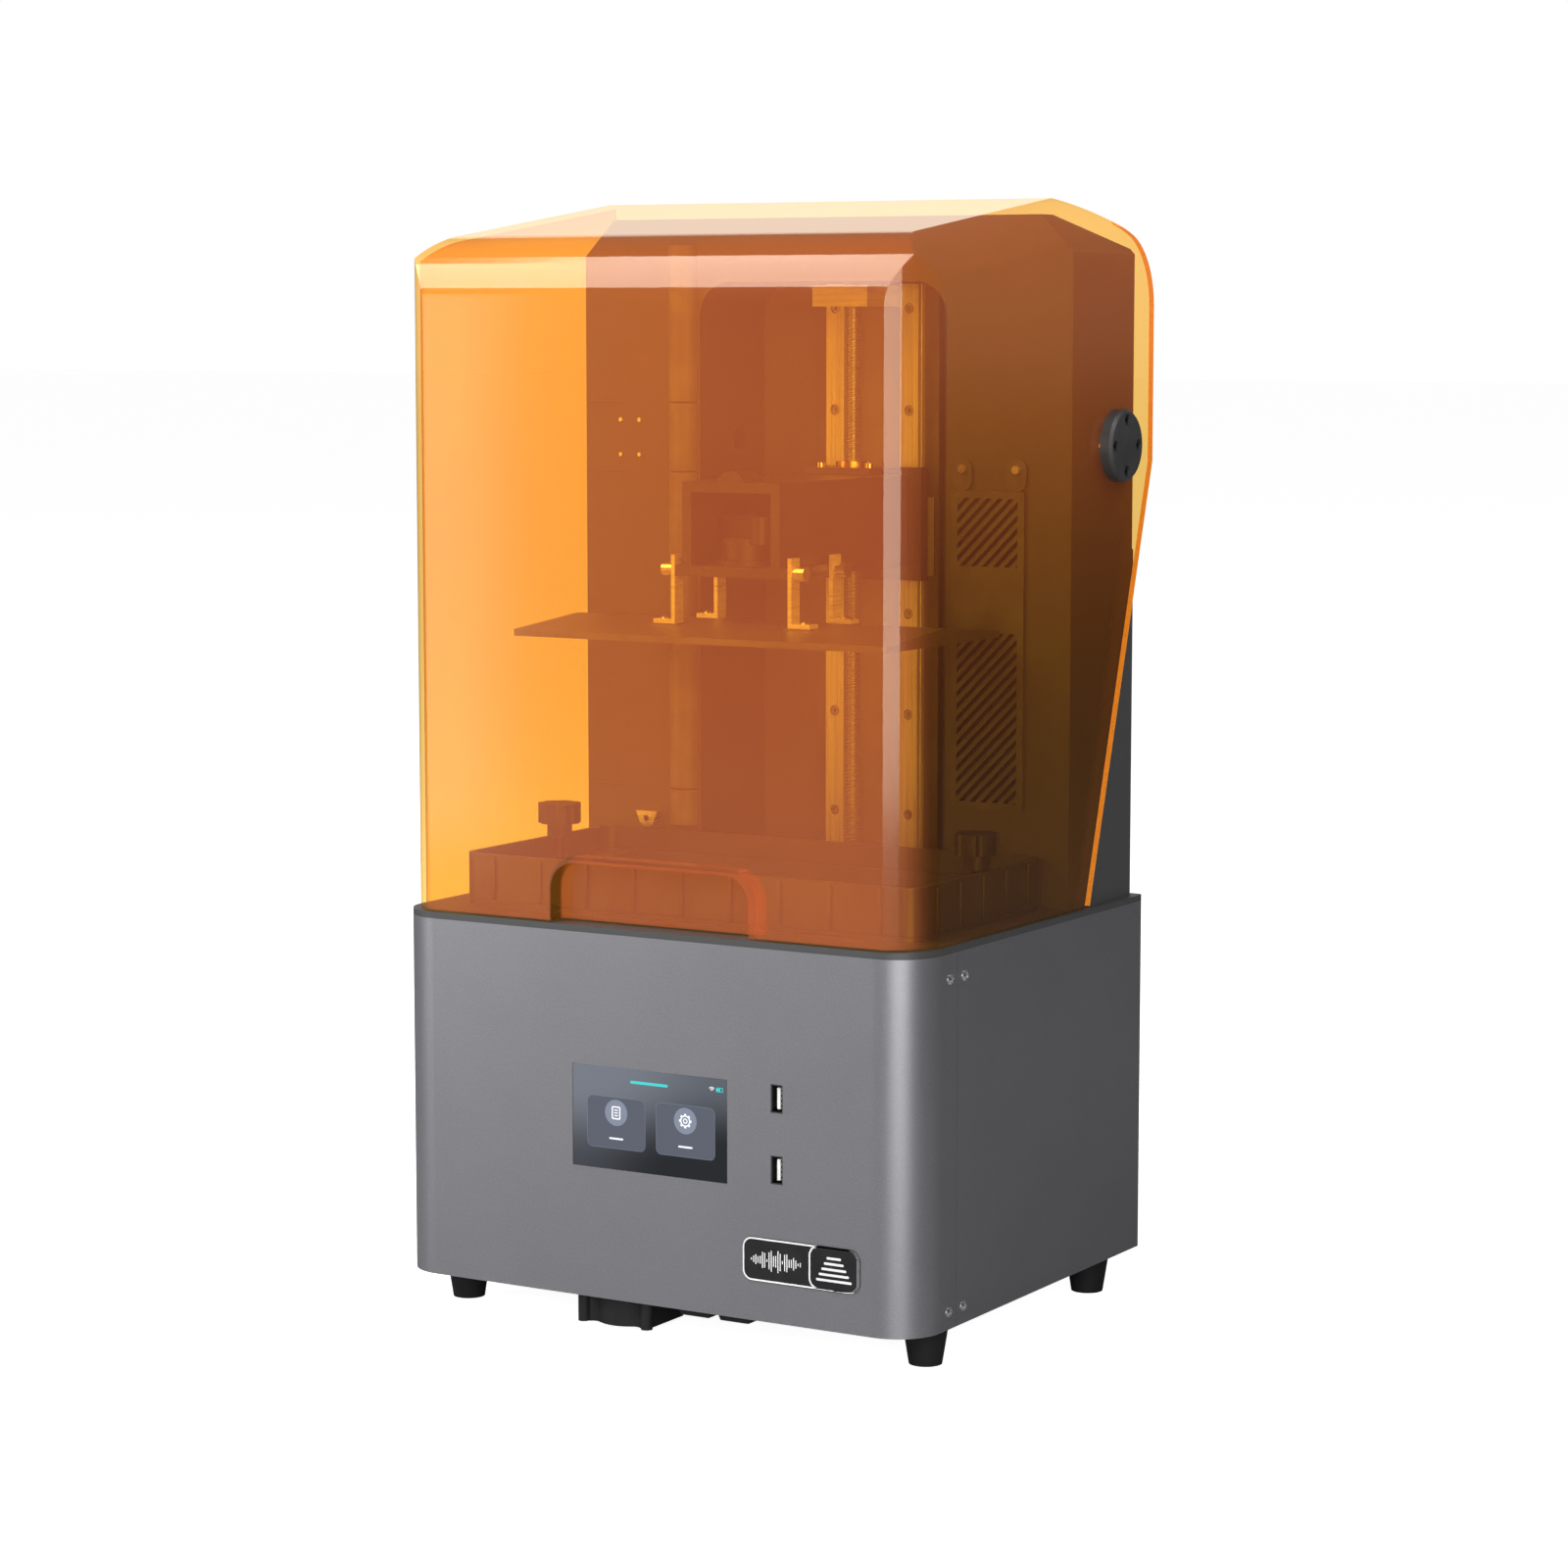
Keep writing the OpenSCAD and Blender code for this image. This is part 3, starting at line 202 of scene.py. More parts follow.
class Finish:
    """A material under construction."""

    def __init__(self, name):
        self.material = bpy.data.materials.new(name)
        self.material.use_nodes = True
        self.tree = self.material.node_tree
        self.tree.nodes.clear()
        self.output = self.add("ShaderNodeOutputMaterial")
        self._place = None

    def add(self, kind, settings=None, values=None):
        """Makes a node, sets its settings and then its sockets' values or links."""
        node = self.tree.nodes.new(kind)
        for key, value in (settings or {}).items():
            if key == "stops":
                self._ramp(node, value)
            else:
                setattr(node, key, value)
        for key, value in (values or {}).items():
            if value is None:
                continue
            socket = node.inputs[key]
            if isinstance(value, Wire):
                self.tree.links.new(value.socket, socket)
            elif isinstance(value, bpy.types.NodeSocket):
                self.tree.links.new(value, socket)
            elif hasattr(socket.default_value, "__len__") and not hasattr(value, "__len__"):
                socket.default_value = [value] * len(socket.default_value)
            elif hasattr(value, "__len__") and len(value) == 3 and len(socket.default_value) == 4:
                socket.default_value = (*value, 1.0)
            else:
                socket.default_value = value
        return node

    @staticmethod
    def _ramp(node, stops):
        ramp = node.color_ramp
        while len(ramp.elements) < len(stops):
            ramp.elements.new(1.0)
        for element, (place, value) in zip(ramp.elements, stops):
            element.position = place
            element.color = (*value, 1.0) if hasattr(value, "__len__") else (value,) * 3 + (1.0,)

    def place(self):
        """Object coordinates, in metres."""
        if self._place is None:
            self._place = self.add("ShaderNodeTexCoord").outputs["Object"]
        return self._place

    def axis(self, index):
        """One of the object coordinates."""
        node = self.add("ShaderNodeSeparateXYZ", None, {0: self.place()})
        return Wire(self, node.outputs[index])

    def stretched(self, scale):
        """Object coordinates scaled along each axis, for brushed or drawn surfaces."""
        return self.add("ShaderNodeMapping", None, {"Vector": self.place(), "Scale": scale}).outputs[0]

    def noise(self, scale, detail=3.0, rough=0.55, vector=None):
        node = self.add("ShaderNodeTexNoise", None, {
            "Vector": vector or self.place(), "Scale": scale, "Detail": detail, "Roughness": rough})
        return Wire(self, node.outputs[0])

    def cells(self, scale):
        """Distance to the middle of the nearest cell."""
        node = self.add("ShaderNodeTexVoronoi", None, {"Vector": self.place(), "Scale": scale})
        return Wire(self, node.outputs["Distance"])

    def blend(self, factor, first, second):
        """Colour mix."""
        node = self.add("ShaderNodeMix", {"data_type": "RGBA"}, {0: factor, 6: first, 7: second})
        return Wire(self, node.outputs[2], True)

    def bump(self, height, distance, strength=1.0, normal=None):
        node = self.add("ShaderNodeBump", None, {
            "Height": height, "Distance": distance, "Strength": strength, "Normal": normal})
        return node.outputs[0]

    def surface(self, **values):
        """The Principled shader, with values by socket name (spaces as underscores)."""
        return self.add("ShaderNodeBsdfPrincipled", None, {
            key.replace("_", " "): value for key, value in values.items()}).outputs[0]

    def show(self, shader):
        self.tree.links.new(shader, self.output.inputs[0])
        return self.material


def tone(value, factor):
    """A colour made lighter or darker."""
    return tuple(min(1.0, c * factor) for c in value)


# ---------------------------------------------------------------- finishes

def powder_coat(name, base, flake, roughness=0.5, sparkle=1.0, metallic=0.0):
    """Sparkling powder coat: fine orange peel, cloudy tone and bright flakes."""
    g = Finish(name)
    cloud = g.noise(22.0, 4.0)
    grain = g.noise(900.0, 3.0, 0.7)
    flakes = g.cells(1.0 / flake)
    glint = 1.0 - flakes.soft(0.06, 0.24)
    body = g.blend(cloud.soft(0.3, 0.7), tone(base, 0.98), tone(base, 1.02))
    body = g.blend(grain.soft(0.35, 0.75) * 0.35, body, tone(base, 1.3))
    body = g.blend(glint * (0.5 * sparkle), body, tone(base, 2.4))
    height = grain * 0.7 + flakes * 0.3
    return g.show(g.surface(
        Base_Color=body, Metallic=metallic + glint * (0.3 * sparkle),
        Roughness=roughness + (grain - 0.5) * 0.18,
        Normal=g.bump(height, 0.00006, 0.55)))


def moulded(name, base, roughness=0.5, grain_size=1500.0, bump=0.5, shine=0.5):
    """Moulded plastic or rubber with a fine grain and faint handling marks."""
    g = Finish(name)
    grain = g.noise(grain_size, 3.0, 0.6)
    wear = g.noise(35.0, 5.0, 0.65)
    body = g.blend(wear.soft(0.35, 0.75), tone(base, 0.9), tone(base, 1.35))
    return g.show(g.surface(
        Base_Color=body, Roughness=roughness + (wear - 0.5) * 0.25, Specular_IOR_Level=shine,
        Normal=g.bump(grain, 0.00005, bump)))


def drawn_metal(name, base, along=(40.0, 40.0, 900.0), roughness=0.28, metallic=1.0):
    """Ground, drawn or turned metal with fine lines across one axis."""
    g = Finish(name)
    lines = g.noise(1.0, 4.0, 0.7, g.stretched(along))
    cloud = g.noise(30.0, 3.0)
    body = g.blend(lines.soft(0.3, 0.7), tone(base, 0.82), tone(base, 1.12))
    return g.show(g.surface(
        Base_Color=body, Metallic=metallic,
        Roughness=roughness + (lines - 0.5) * 0.2 + (cloud - 0.5) * 0.1,
        Normal=g.bump(lines, 0.00002, 0.4)))


def blasted_metal(name, base, roughness=0.42, metallic=0.85):
    """Bead-blasted and anodised aluminium."""
    g = Finish(name)
    pits = g.cells(2200.0)
    cloud = g.noise(26.0, 4.0)
    body = g.blend(cloud.soft(0.3, 0.7), tone(base, 0.88), tone(base, 1.14))
    return g.show(g.surface(
        Base_Color=body, Metallic=metallic, Roughness=roughness + (cloud - 0.5) * 0.16,
        Normal=g.bump(pits, 0.00003, 0.5)))


def acrylic(name, cover):
    """Tinted clear acrylic: it colours what is behind it, scatters a little and shines. Its haze carries
    painted shade and painted glow.
    """
    g = Finish(name)
    tint = tuple(math.sqrt(c) for c in cover.wall)
    low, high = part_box("cover_shell")
    rise = g.axis(2).soft(low.z, high.z)
    cloud = g.noise(9.0, 3.0)
    clear = g.add("ShaderNodeBsdfTransparent", None, {0: tint}).outputs[0]
    shape = g.add("ShaderNodeNewGeometry")
    flat = shape.outputs["True Normal"]
    turned = g.add("ShaderNodeSeparateXYZ", None, {0: flat})
    # Painted light: the haze is brighter on faces turned to the front or back and towards the top, and painted
    # darker on the side walls and towards the bottom.
    frontal_painted_light = Wire(g, turned.outputs[1]).size().soft(0.3, 0.9)
    lit = frontal_painted_light + (1.0 - frontal_painted_light) * rise * rise
    haze_colour_painted_shade = g.blend(lit, tone(cover.haze, 0.2), cover.haze)
    # Painted glow: the emission follows the same painted light, strongest on front faces and near the top.
    haze = g.surface(Base_Color=haze_colour_painted_shade, Roughness=0.5, Specular_IOR_Level=0.0,
                     Emission_Color=g.blend(lit, (0.0, 0.0, 0.0), cover.haze), Emission_Strength=cover.glow)
    amount = cover.haze_share + (cloud - 0.5) * 0.02
    body = g.add("ShaderNodeMixShader", None, {0: amount, 1: clear, 2: haze}).outputs[0]
    shine = g.add("ShaderNodeBsdfGlossy", None,
                  {"Color": cover.sheen, "Roughness": cover.gloss, "Normal": flat}).outputs[0]
    glance = Wire(g, g.add("ShaderNodeFresnel", None, {"IOR": 1.49, "Normal": flat}).outputs[0])
    outward = 1.0 - Wire(g, shape.outputs["Backfacing"])
    return g.show(g.add("ShaderNodeMixShader", None, {0: glance * outward, 1: body, 2: shine}).outputs[0])


def lit_edge(name, cover):
    """Cut acrylic edge with painted glow, standing in for the light the acrylic carries to its rim."""
    g = Finish(name)
    saw = g.noise(700.0, 2.0)
    body = g.blend(saw.soft(0.3, 0.7), tone(cover.rim, 0.85), cover.rim)
    # Painted glow: the edge emits its own colour.
    return g.show(g.surface(Base_Color=body, Roughness=0.3, Emission_Color=body, Emission_Strength=0.45))


def film(name, tint, share_seen):
    """Thin clear film."""
    g = Finish(name)
    ripple = g.noise(60.0, 2.0)
    clear = g.add("ShaderNodeBsdfTransparent", None, {0: tint}).outputs[0]
    sheet = g.surface(Base_Color=tint, Roughness=0.12, Normal=g.bump(ripple, 0.0003, 0.3))
    return g.show(g.add("ShaderNodeMixShader", None, {0: share_seen, 1: clear, 2: sheet}).outputs[0])


def glowing(name, base, strength):
    """Lit part of a display, with the fine grid of its cells."""
    g = Finish(name)
    grid = g.cells(9000.0)
    body = g.blend(grid.soft(0.2, 0.8), base, tone(base, 0.8))
    return g.show(g.surface(Base_Color=tone(base, 0.3), Roughness=0.15,
                            Emission_Color=body, Emission_Strength=strength))


def display_glass(name, screen):
    """Dark glass over a lit picture that is brighter towards its upper left."""
    g = Finish(name)
    low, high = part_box("display_glass")
    across = g.axis(0).soft(low.x, high.x)
    up = g.axis(2).soft(low.z, high.z)
    dust = g.noise(160.0, 4.0)
    light = (up * 0.62 + (1.0 - across) * 0.42).soft(0.15, 1.0)
    picture = g.blend(light, screen.glass, screen.glow)
    return g.show(g.surface(Base_Color=screen.glass, Roughness=0.09 + dust * 0.05,
                            Emission_Color=picture, Emission_Strength=1.0))


def circuit(name):
    """Printed circuit board: solder mask with tracks and bare pads."""
    g = Finish(name)
    tracks = g.noise(1.0, 0.0, 0.5, g.stretched((260.0, 260.0, 90.0)))
    pads = g.cells(420.0)
    mask = g.blend(tracks.soft(0.48, 0.52), (0.008, 0.07, 0.03), (0.015, 0.13, 0.055))
    pad = pads.below(0.16)
    return g.show(g.surface(Base_Color=g.blend(pad, mask, (0.62, 0.6, 0.5)), Metallic=pad * 0.9,
                            Roughness=0.38, Normal=g.bump(tracks, 0.00006, 0.5)))


def foam(name, base):
    """Open-cell carbon foam."""
    g = Finish(name)
    cell = g.cells(420.0)
    return g.show(g.surface(Base_Color=g.blend(cell, tone(base, 0.5), tone(base, 1.8)),
                            Roughness=0.95, Normal=g.bump(cell, 0.0006, 0.9)))


# ---------------------------------------------------------------- building pieces

def dress(material, *nodes):
    """Gives CAD nodes their finish."""
    for name in nodes:
        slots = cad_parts[name].data.materials
        slots.clear()
        slots.append(material)


def piece(name, bm, material, body, smooth_angle=35.0):
    """Turns a bmesh into a finished piece that rides on a body."""
    bmesh.ops.recalc_face_normals(bm, faces=bm.faces)
    mesh = bpy.data.meshes.new(name)
    bm.to_mesh(mesh)
    bm.free()
    mesh.shade_smooth()
    mesh.set_sharp_from_angle(angle=math.radians(smooth_angle))
    mesh.materials.append(material)
    obj = bpy.data.objects.new(name, mesh)
    bpy.context.scene.collection.objects.link(obj)
    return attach(obj, body)


def tile(bm, width, height, radius, depth, place, line=0.0):
    """A rounded tile facing the user, or only its outline where line is given."""
    start = bmesh.ops.create_grid(bm, x_segments=1, y_segments=1, size=0.5)["verts"]
    bmesh.ops.scale(bm, vec=(width, height, 1.0), verts=start)
    made = start
    if radius > 0:
        made = bmesh.ops.bevel(bm, geom=start, offset=radius, offset_type="OFFSET", segments=8,
                               profile=0.5, affect="VERTICES", material=-1)["verts"]
    faces = list({f for v in made for f in v.link_faces})
    if line > 0:
        ring = bmesh.ops.inset_region(bm, faces=faces, thickness=line, use_boundary=True,
                                      use_even_offset=True)["faces"]
        bmesh.ops.delete(bm, geom=faces, context="FACES")
        faces = ring
    finish_flat(bm, faces, depth, place)


def finish_flat(bm, faces, depth, place, turn=0.0):
    """Extrudes flat faces, turns them to face the user and puts them in place."""
    lifted = bmesh.ops.extrude_face_region(bm, geom=faces)["geom"]
    top = [v for v in lifted if isinstance(v, bmesh.types.BMVert)]
    bmesh.ops.translate(bm, vec=(0.0, 0.0, depth), verts=top)
    every = list({v for f in faces for v in f.verts} | set(top))
    where = Matrix.Translation(place) @ FACING_USER @ Matrix.Rotation(turn, 4, "Z")
    bmesh.ops.transform(bm, matrix=where, verts=every)


def disc(bm, radius, depth, place, segments=32):
    """A round disc facing the user."""
    ring = bmesh.ops.create_circle(bm, cap_ends=True, segments=segments, radius=radius)["verts"]
    finish_flat(bm, list({f for v in ring for f in v.link_faces}), depth, place)


def arc(bm, radius, line, start, sweep, depth, place, steps=12):
    """A curved stroke facing the user: part of a ring between two angles."""
    inner = bm.verts.new((radius - line / 2, 0.0, 0.0))
    outer = bm.verts.new((radius + line / 2, 0.0, 0.0))
    edge = bm.edges.new((inner, outer))
    bmesh.ops.rotate(bm, cent=(0, 0, 0), matrix=Matrix.Rotation(start, 3, "Z"), verts=(inner, outer))
    whole = abs(sweep) > math.radians(359.0)
    before = set(bm.faces)
    bmesh.ops.spin(bm, geom=[inner, outer, edge], cent=(0, 0, 0), axis=(0, 0, 1), dvec=(0, 0, 0),
                   angle=sweep, steps=steps, use_merge=whole, use_duplicate=False)
    finish_flat(bm, list(set(bm.faces) - before), depth, place)


def box(bm, low, high, bevel=0.0, segments=2):
    """A block between two corners with its edges eased."""
    low, high = Vector(low), Vector(high)
    made = bmesh.ops.create_cube(bm, size=1.0)["verts"]
    bmesh.ops.scale(bm, vec=high - low, verts=made)
    bmesh.ops.translate(bm, vec=(low + high) / 2, verts=made)
    if bevel > 0:
        edges = list({e for v in made for e in v.link_edges})
        bmesh.ops.bevel(bm, geom=edges, offset=bevel, offset_type="OFFSET", segments=segments,
                        profile=0.5, affect="EDGES", material=-1)


def rod(bm, start, end, radius, segments=24, end_radius=None, bevel=0.0):
    """A round bar between two points."""
    start, end = Vector(start), Vector(end)
    axis = end - start
    made = bmesh.ops.create_cone(bm, cap_ends=True, segments=segments, radius1=radius,
                                 radius2=radius if end_radius is None else end_radius,
                                 depth=axis.length)["verts"]
    where = Matrix.Translation((start + end) / 2) @ axis.to_track_quat("Z", "Y").to_matrix().to_4x4()
    bmesh.ops.transform(bm, matrix=where, verts=made)
    if bevel > 0:
        caps = [f for f in {f for v in made for f in v.link_faces} if len(f.verts) > 4]
        bmesh.ops.bevel(bm, geom=list({e for f in caps for e in f.edges}), offset=bevel,
                        offset_type="OFFSET", segments=2, profile=0.5, affect="EDGES", material=-1)


# ---------------------------------------------------------------- base

class PRINTER_OT_base(bpy.types.Operator):
    """Paint the base's panels and finish its feet, rests and screws"""

    bl_idname = "printer.base"
    bl_label = "Base"
    bl_options = {"REGISTER", "UNDO"}

    def execute(self, context):
        p = context.scene.printer
        paint = p.paint
        dress(powder_coat("metallic powder coat", paint.body, paint.flake, 0.42, 1.0, 0.8),
              "front_panel", "rear_panel", "bottom_plate")
        dress(powder_coat("deck powder coat", paint.deck, paint.flake, 0.45, 0.5), "deck_plate")
        dress(moulded("foot rubber", paint.rubber, 0.65, shine=0.25),
              "feet", "front_support", "underside_pads")
        dress(drawn_metal("nickel screw heads", p.metal.bright, (500.0, 40.0, 40.0), 0.18),
              "panel_screws", "foot_screws")
        return {"FINISHED"}


class PRINTER_OT_ports(bpy.types.Operator):
    """Finish the two front sockets and add their contacts"""

    bl_idname = "printer.ports"
    bl_label = "Front sockets"
    bl_options = {"REGISTER", "UNDO"}

    def execute(self, context):
        p = context.scene.printer
        dress(drawn_metal("socket shells", tone(p.metal.bright, 0.22), (40.0, 900.0, 40.0), 0.3),
              "usb_shells")
        dress(moulded("socket tongues", (0.78, 0.78, 0.76), 0.35), "usb_tongues")
        low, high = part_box("usb_tongues")
        shell_low, shell_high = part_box("usb_shells")
        tongue_h = (high.z - low.z) - (shell_high.z - shell_low.z - 15 * MM)
        bm = bmesh.new()
        for base in (low.z, high.z - tongue_h):
            for k in range(4):
                z = base + tongue_h * (k + 0.5) / 4
                box(bm, (high.x, low.y + 0.6 * MM, z - 0.55 * MM),
                    (high.x + 0.12 * MM, low.y + 7 * MM, z + 0.55 * MM), 0.04 * MM, 1)
        gilt = drawn_metal("gilt contacts", (0.85, 0.62, 0.25), (40.0, 900.0, 40.0), 0.2)
        piece("usb_contacts", bm, gilt, "base")
        return {"FINISHED"}


# ---------------------------------------------------------------- display and badge

class PRINTER_OT_display(bpy.types.Operator):
    """Light the touch screen and draw its two tiles, symbols and status marks"""

    bl_idname = "printer.display"
    bl_label = "Touch screen"
    bl_options = {"REGISTER", "UNDO"}

    def execute(self, context):
        p = context.scene.printer
        screen = p.screen
        dress(display_glass("touch screen glass", screen), "display_glass")
        low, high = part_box("display_glass")
        w, h = high.x - low.x, high.z - low.z
        proud = screen.picture_proud

        def at(across, up, layer):
            return (low.x + w * across, low.y + proud * 0.5 - proud * layer, low.z + h * up)

        cards = bmesh.new()
        rims = bmesh.new()
        rounds = bmesh.new()
        marks = bmesh.new()
        labels = bmesh.new()
        card_w, card_h, radius = w * 0.375, h * 0.50, 3.2 * MM
        for across in (0.285, 0.735):
            tile(cards, card_w, card_h, radius, proud, at(across, 0.455, 1))
            tile(rims, card_w + 0.5 * MM, card_h + 0.5 * MM, radius, proud, at(across, 0.455, 1), 0.22 * MM)
            disc(rounds, 7.2 * MM, proud, at(across, 0.555, 2), 40)
            tile(labels, 9.0 * MM, 1.0 * MM, 0.45 * MM, proud, at(across, 0.30, 2))
        self.sheet_symbol(marks, at(0.285, 0.555, 3), proud)
        self.gear_symbol(marks, at(0.735, 0.555, 3), proud)
        status = bmesh.new()
        tile(status, 24.0 * MM, 1.5 * MM, 0.7 * MM, proud, at(0.50, 0.875, 1))
        tile(status, 4.4 * MM, 2.4 * MM, 0.6 * MM, proud, at(0.955, 0.895, 1), 0.35 * MM)
        tile(status, 2.4 * MM, 1.2 * MM, 0.2 * MM, proud, at(0.947, 0.895, 1))
        signal = bmesh.new()
        x, y, z = at(0.905, 0.875, 1)
        for k in (1, 2, 3):
            arc(signal, k * 0.75 * MM, 0.35 * MM, math.radians(45), math.radians(90), proud, (x, y, z), 8)
        lit = glowing("lit tiles", screen.card, 1.0)
        icon = glowing("lit symbols", screen.icon, 1.0)
        accent = glowing("lit status marks", screen.accent, 0.9)
        piece("screen_tiles", cards, lit, "base")
        piece("screen_tile_rims", rims, glowing("lit rims", tone(screen.card, 1.9), 1.0),
              "base")
        piece("screen_rounds", rounds, glowing("lit rounds", tone(screen.card, 2.4), 1.0),
              "base")
        piece("screen_symbols", marks, icon, "base")
        piece("screen_labels", labels, icon, "base")
        piece("screen_status", status, accent, "base")
        piece("screen_signal", signal, icon, "base")
        return {"FINISHED"}

    @staticmethod
    def sheet_symbol(bm, place, depth):
        """A sheet of paper with three lines."""
        x, y, z = place
        tile(bm, 5.6 * MM, 7.2 * MM, 0.9 * MM, depth, place, 0.75 * MM)
        for k in (-1, 0, 1):
            tile(bm, 2.4 * MM, 0.6 * MM, 0.0, depth, (x, y, z + k * 1.5 * MM))

    @staticmethod
    def gear_symbol(bm, place, depth):
        """A toothed wheel."""
        x, y, z = place
        arc(bm, 2.8 * MM, 0.75 * MM, 0.0, 2 * math.pi, depth, place, 32)
        arc(bm, 1.15 * MM, 0.6 * MM, 0.0, 2 * math.pi, depth, place, 24)
        for k in range(8):
            turn = k * math.pi / 4
            arc(bm, 3.5 * MM, 0.9 * MM, turn - 0.18, 0.36, depth, place, 3)


class PRINTER_OT_badge(bpy.types.Operator):
    """Finish the black badge and draw its white outline and plain pattern"""

    bl_idname = "printer.badge"
    bl_label = "Badge"
    bl_options = {"REGISTER", "UNDO"}

    def execute(self, context):
        p = context.scene.printer
        dress(moulded("badge black", (0.010, 0.010, 0.011), 0.28, 600.0, 0.2), "badge")
        low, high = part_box("badge")
        w, h = high.x - low.x, high.z - low.z
        depth = p.screen.picture_proud
        middle = ((low.x + high.x) / 2, low.y, (low.z + high.z) / 2)
        bm = bmesh.new()
        tile(bm, w - 0.6 * MM, h - 0.6 * MM, 5.6 * MM, depth, middle, p.screen.badge_line)
        split = low.x + w * 0.57
        tile(bm, high.x - split - 0.6 * MM, h - 0.6 * MM, 5.6 * MM, depth,
             ((high.x - 0.3 * MM + split) / 2, low.y, middle[2]), p.screen.badge_line)
        # a row of upright bars on the left, a stack of level bars on the right
        bars = 23
        for k in range(bars):
            swing = abs(math.sin(k * 0.9) * math.sin(math.pi * (k + 1) / (bars + 1)))
            x = low.x + w * (0.08 + 0.42 * k / (bars - 1))
            tile(bm, 0.55 * MM, (1.2 + 11.0 * swing) * MM, 0.0, depth, (x, low.y, middle[2]))
        for k in range(5):
            wide = w * (0.30 - 0.045 * k)
            tile(bm, wide, 1.3 * MM, 0.5 * MM, depth,
                 ((high.x + split) / 2, low.y, low.z + h * 0.24 + k * 3.0 * MM))
        white = moulded("badge white", (0.82, 0.82, 0.83), 0.4, 900.0, 0.2)
        piece("badge_print", bm, white, "base")
        return {"FINISHED"}


# ---------------------------------------------------------------- cover and hinges

class PRINTER_OT_cover(bpy.types.Operator):
    """Give the cover its tinted acrylic and its bright cut edges"""

    bl_idname = "printer.cover"
    bl_label = "Cover"
    bl_options = {"REGISTER", "UNDO"}

    def execute(self, context):
        p = context.scene.printer
        dress(acrylic("orange acrylic", p.cover), "cover_shell")
        rim = self.cut_edges()
        piece("cover_cut_edges", rim, lit_edge("lit acrylic edge", p.cover), "cover")
        return {"FINISHED"}

    @staticmethod
    def cut_edges():
        """A copy of the cover's cut edge faces, lifted clear of them by a hair."""
        low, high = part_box("cover_shell")
        bm = bmesh.new()
        bm.from_mesh(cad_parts["cover_shell"].data)
        bmesh.ops.remove_doubles(bm, verts=bm.verts, dist=1e-6)
        wall = 3.05 * MM

        def is_cut(face):
            middle = face.calc_center_median()
            at_side = high.x - abs(middle.x) < wall
            flat = abs(face.normal.x) < 0.01
            behind = face.normal.y > 0.1 and middle.y > 0.0
            return at_side and flat and behind

        bmesh.ops.delete(bm, geom=[f for f in bm.faces if not is_cut(f)], context="FACES")
        faces = list(bm.faces)
        lifted = bmesh.ops.extrude_face_region(bm, geom=faces, use_keep_orig=True)["geom"]
        verts = [v for v in lifted if isinstance(v, bmesh.types.BMVert)]
        for v in verts:
            v.co += Vector((0.0, 0.12 * MM, 0.0))
        return bm


class PRINTER_OT_hinges(bpy.types.Operator):
    """Finish the hinge caps, pins, screws and housings"""

    bl_idname = "printer.hinges"
    bl_label = "Hinges"
    bl_options = {"REGISTER", "UNDO"}

    def execute(self, context):
        p = context.scene.printer
        dress(moulded("hinge caps", p.paint.cap, 0.42), "hinge_caps")
        dress(moulded("hinge housings", p.paint.black, 0.5), "hinge_housings")
        dress(drawn_metal("black oxide screws", (0.09, 0.09, 0.095), (900.0, 40.0, 40.0), 0.32),
              "hinge_screws")
        dress(drawn_metal("hinge pin steel", p.metal.steel, (900.0, 40.0, 40.0)), "hinge_pins")
        return {"FINISHED"}


# ---------------------------------------------------------------- column and lift

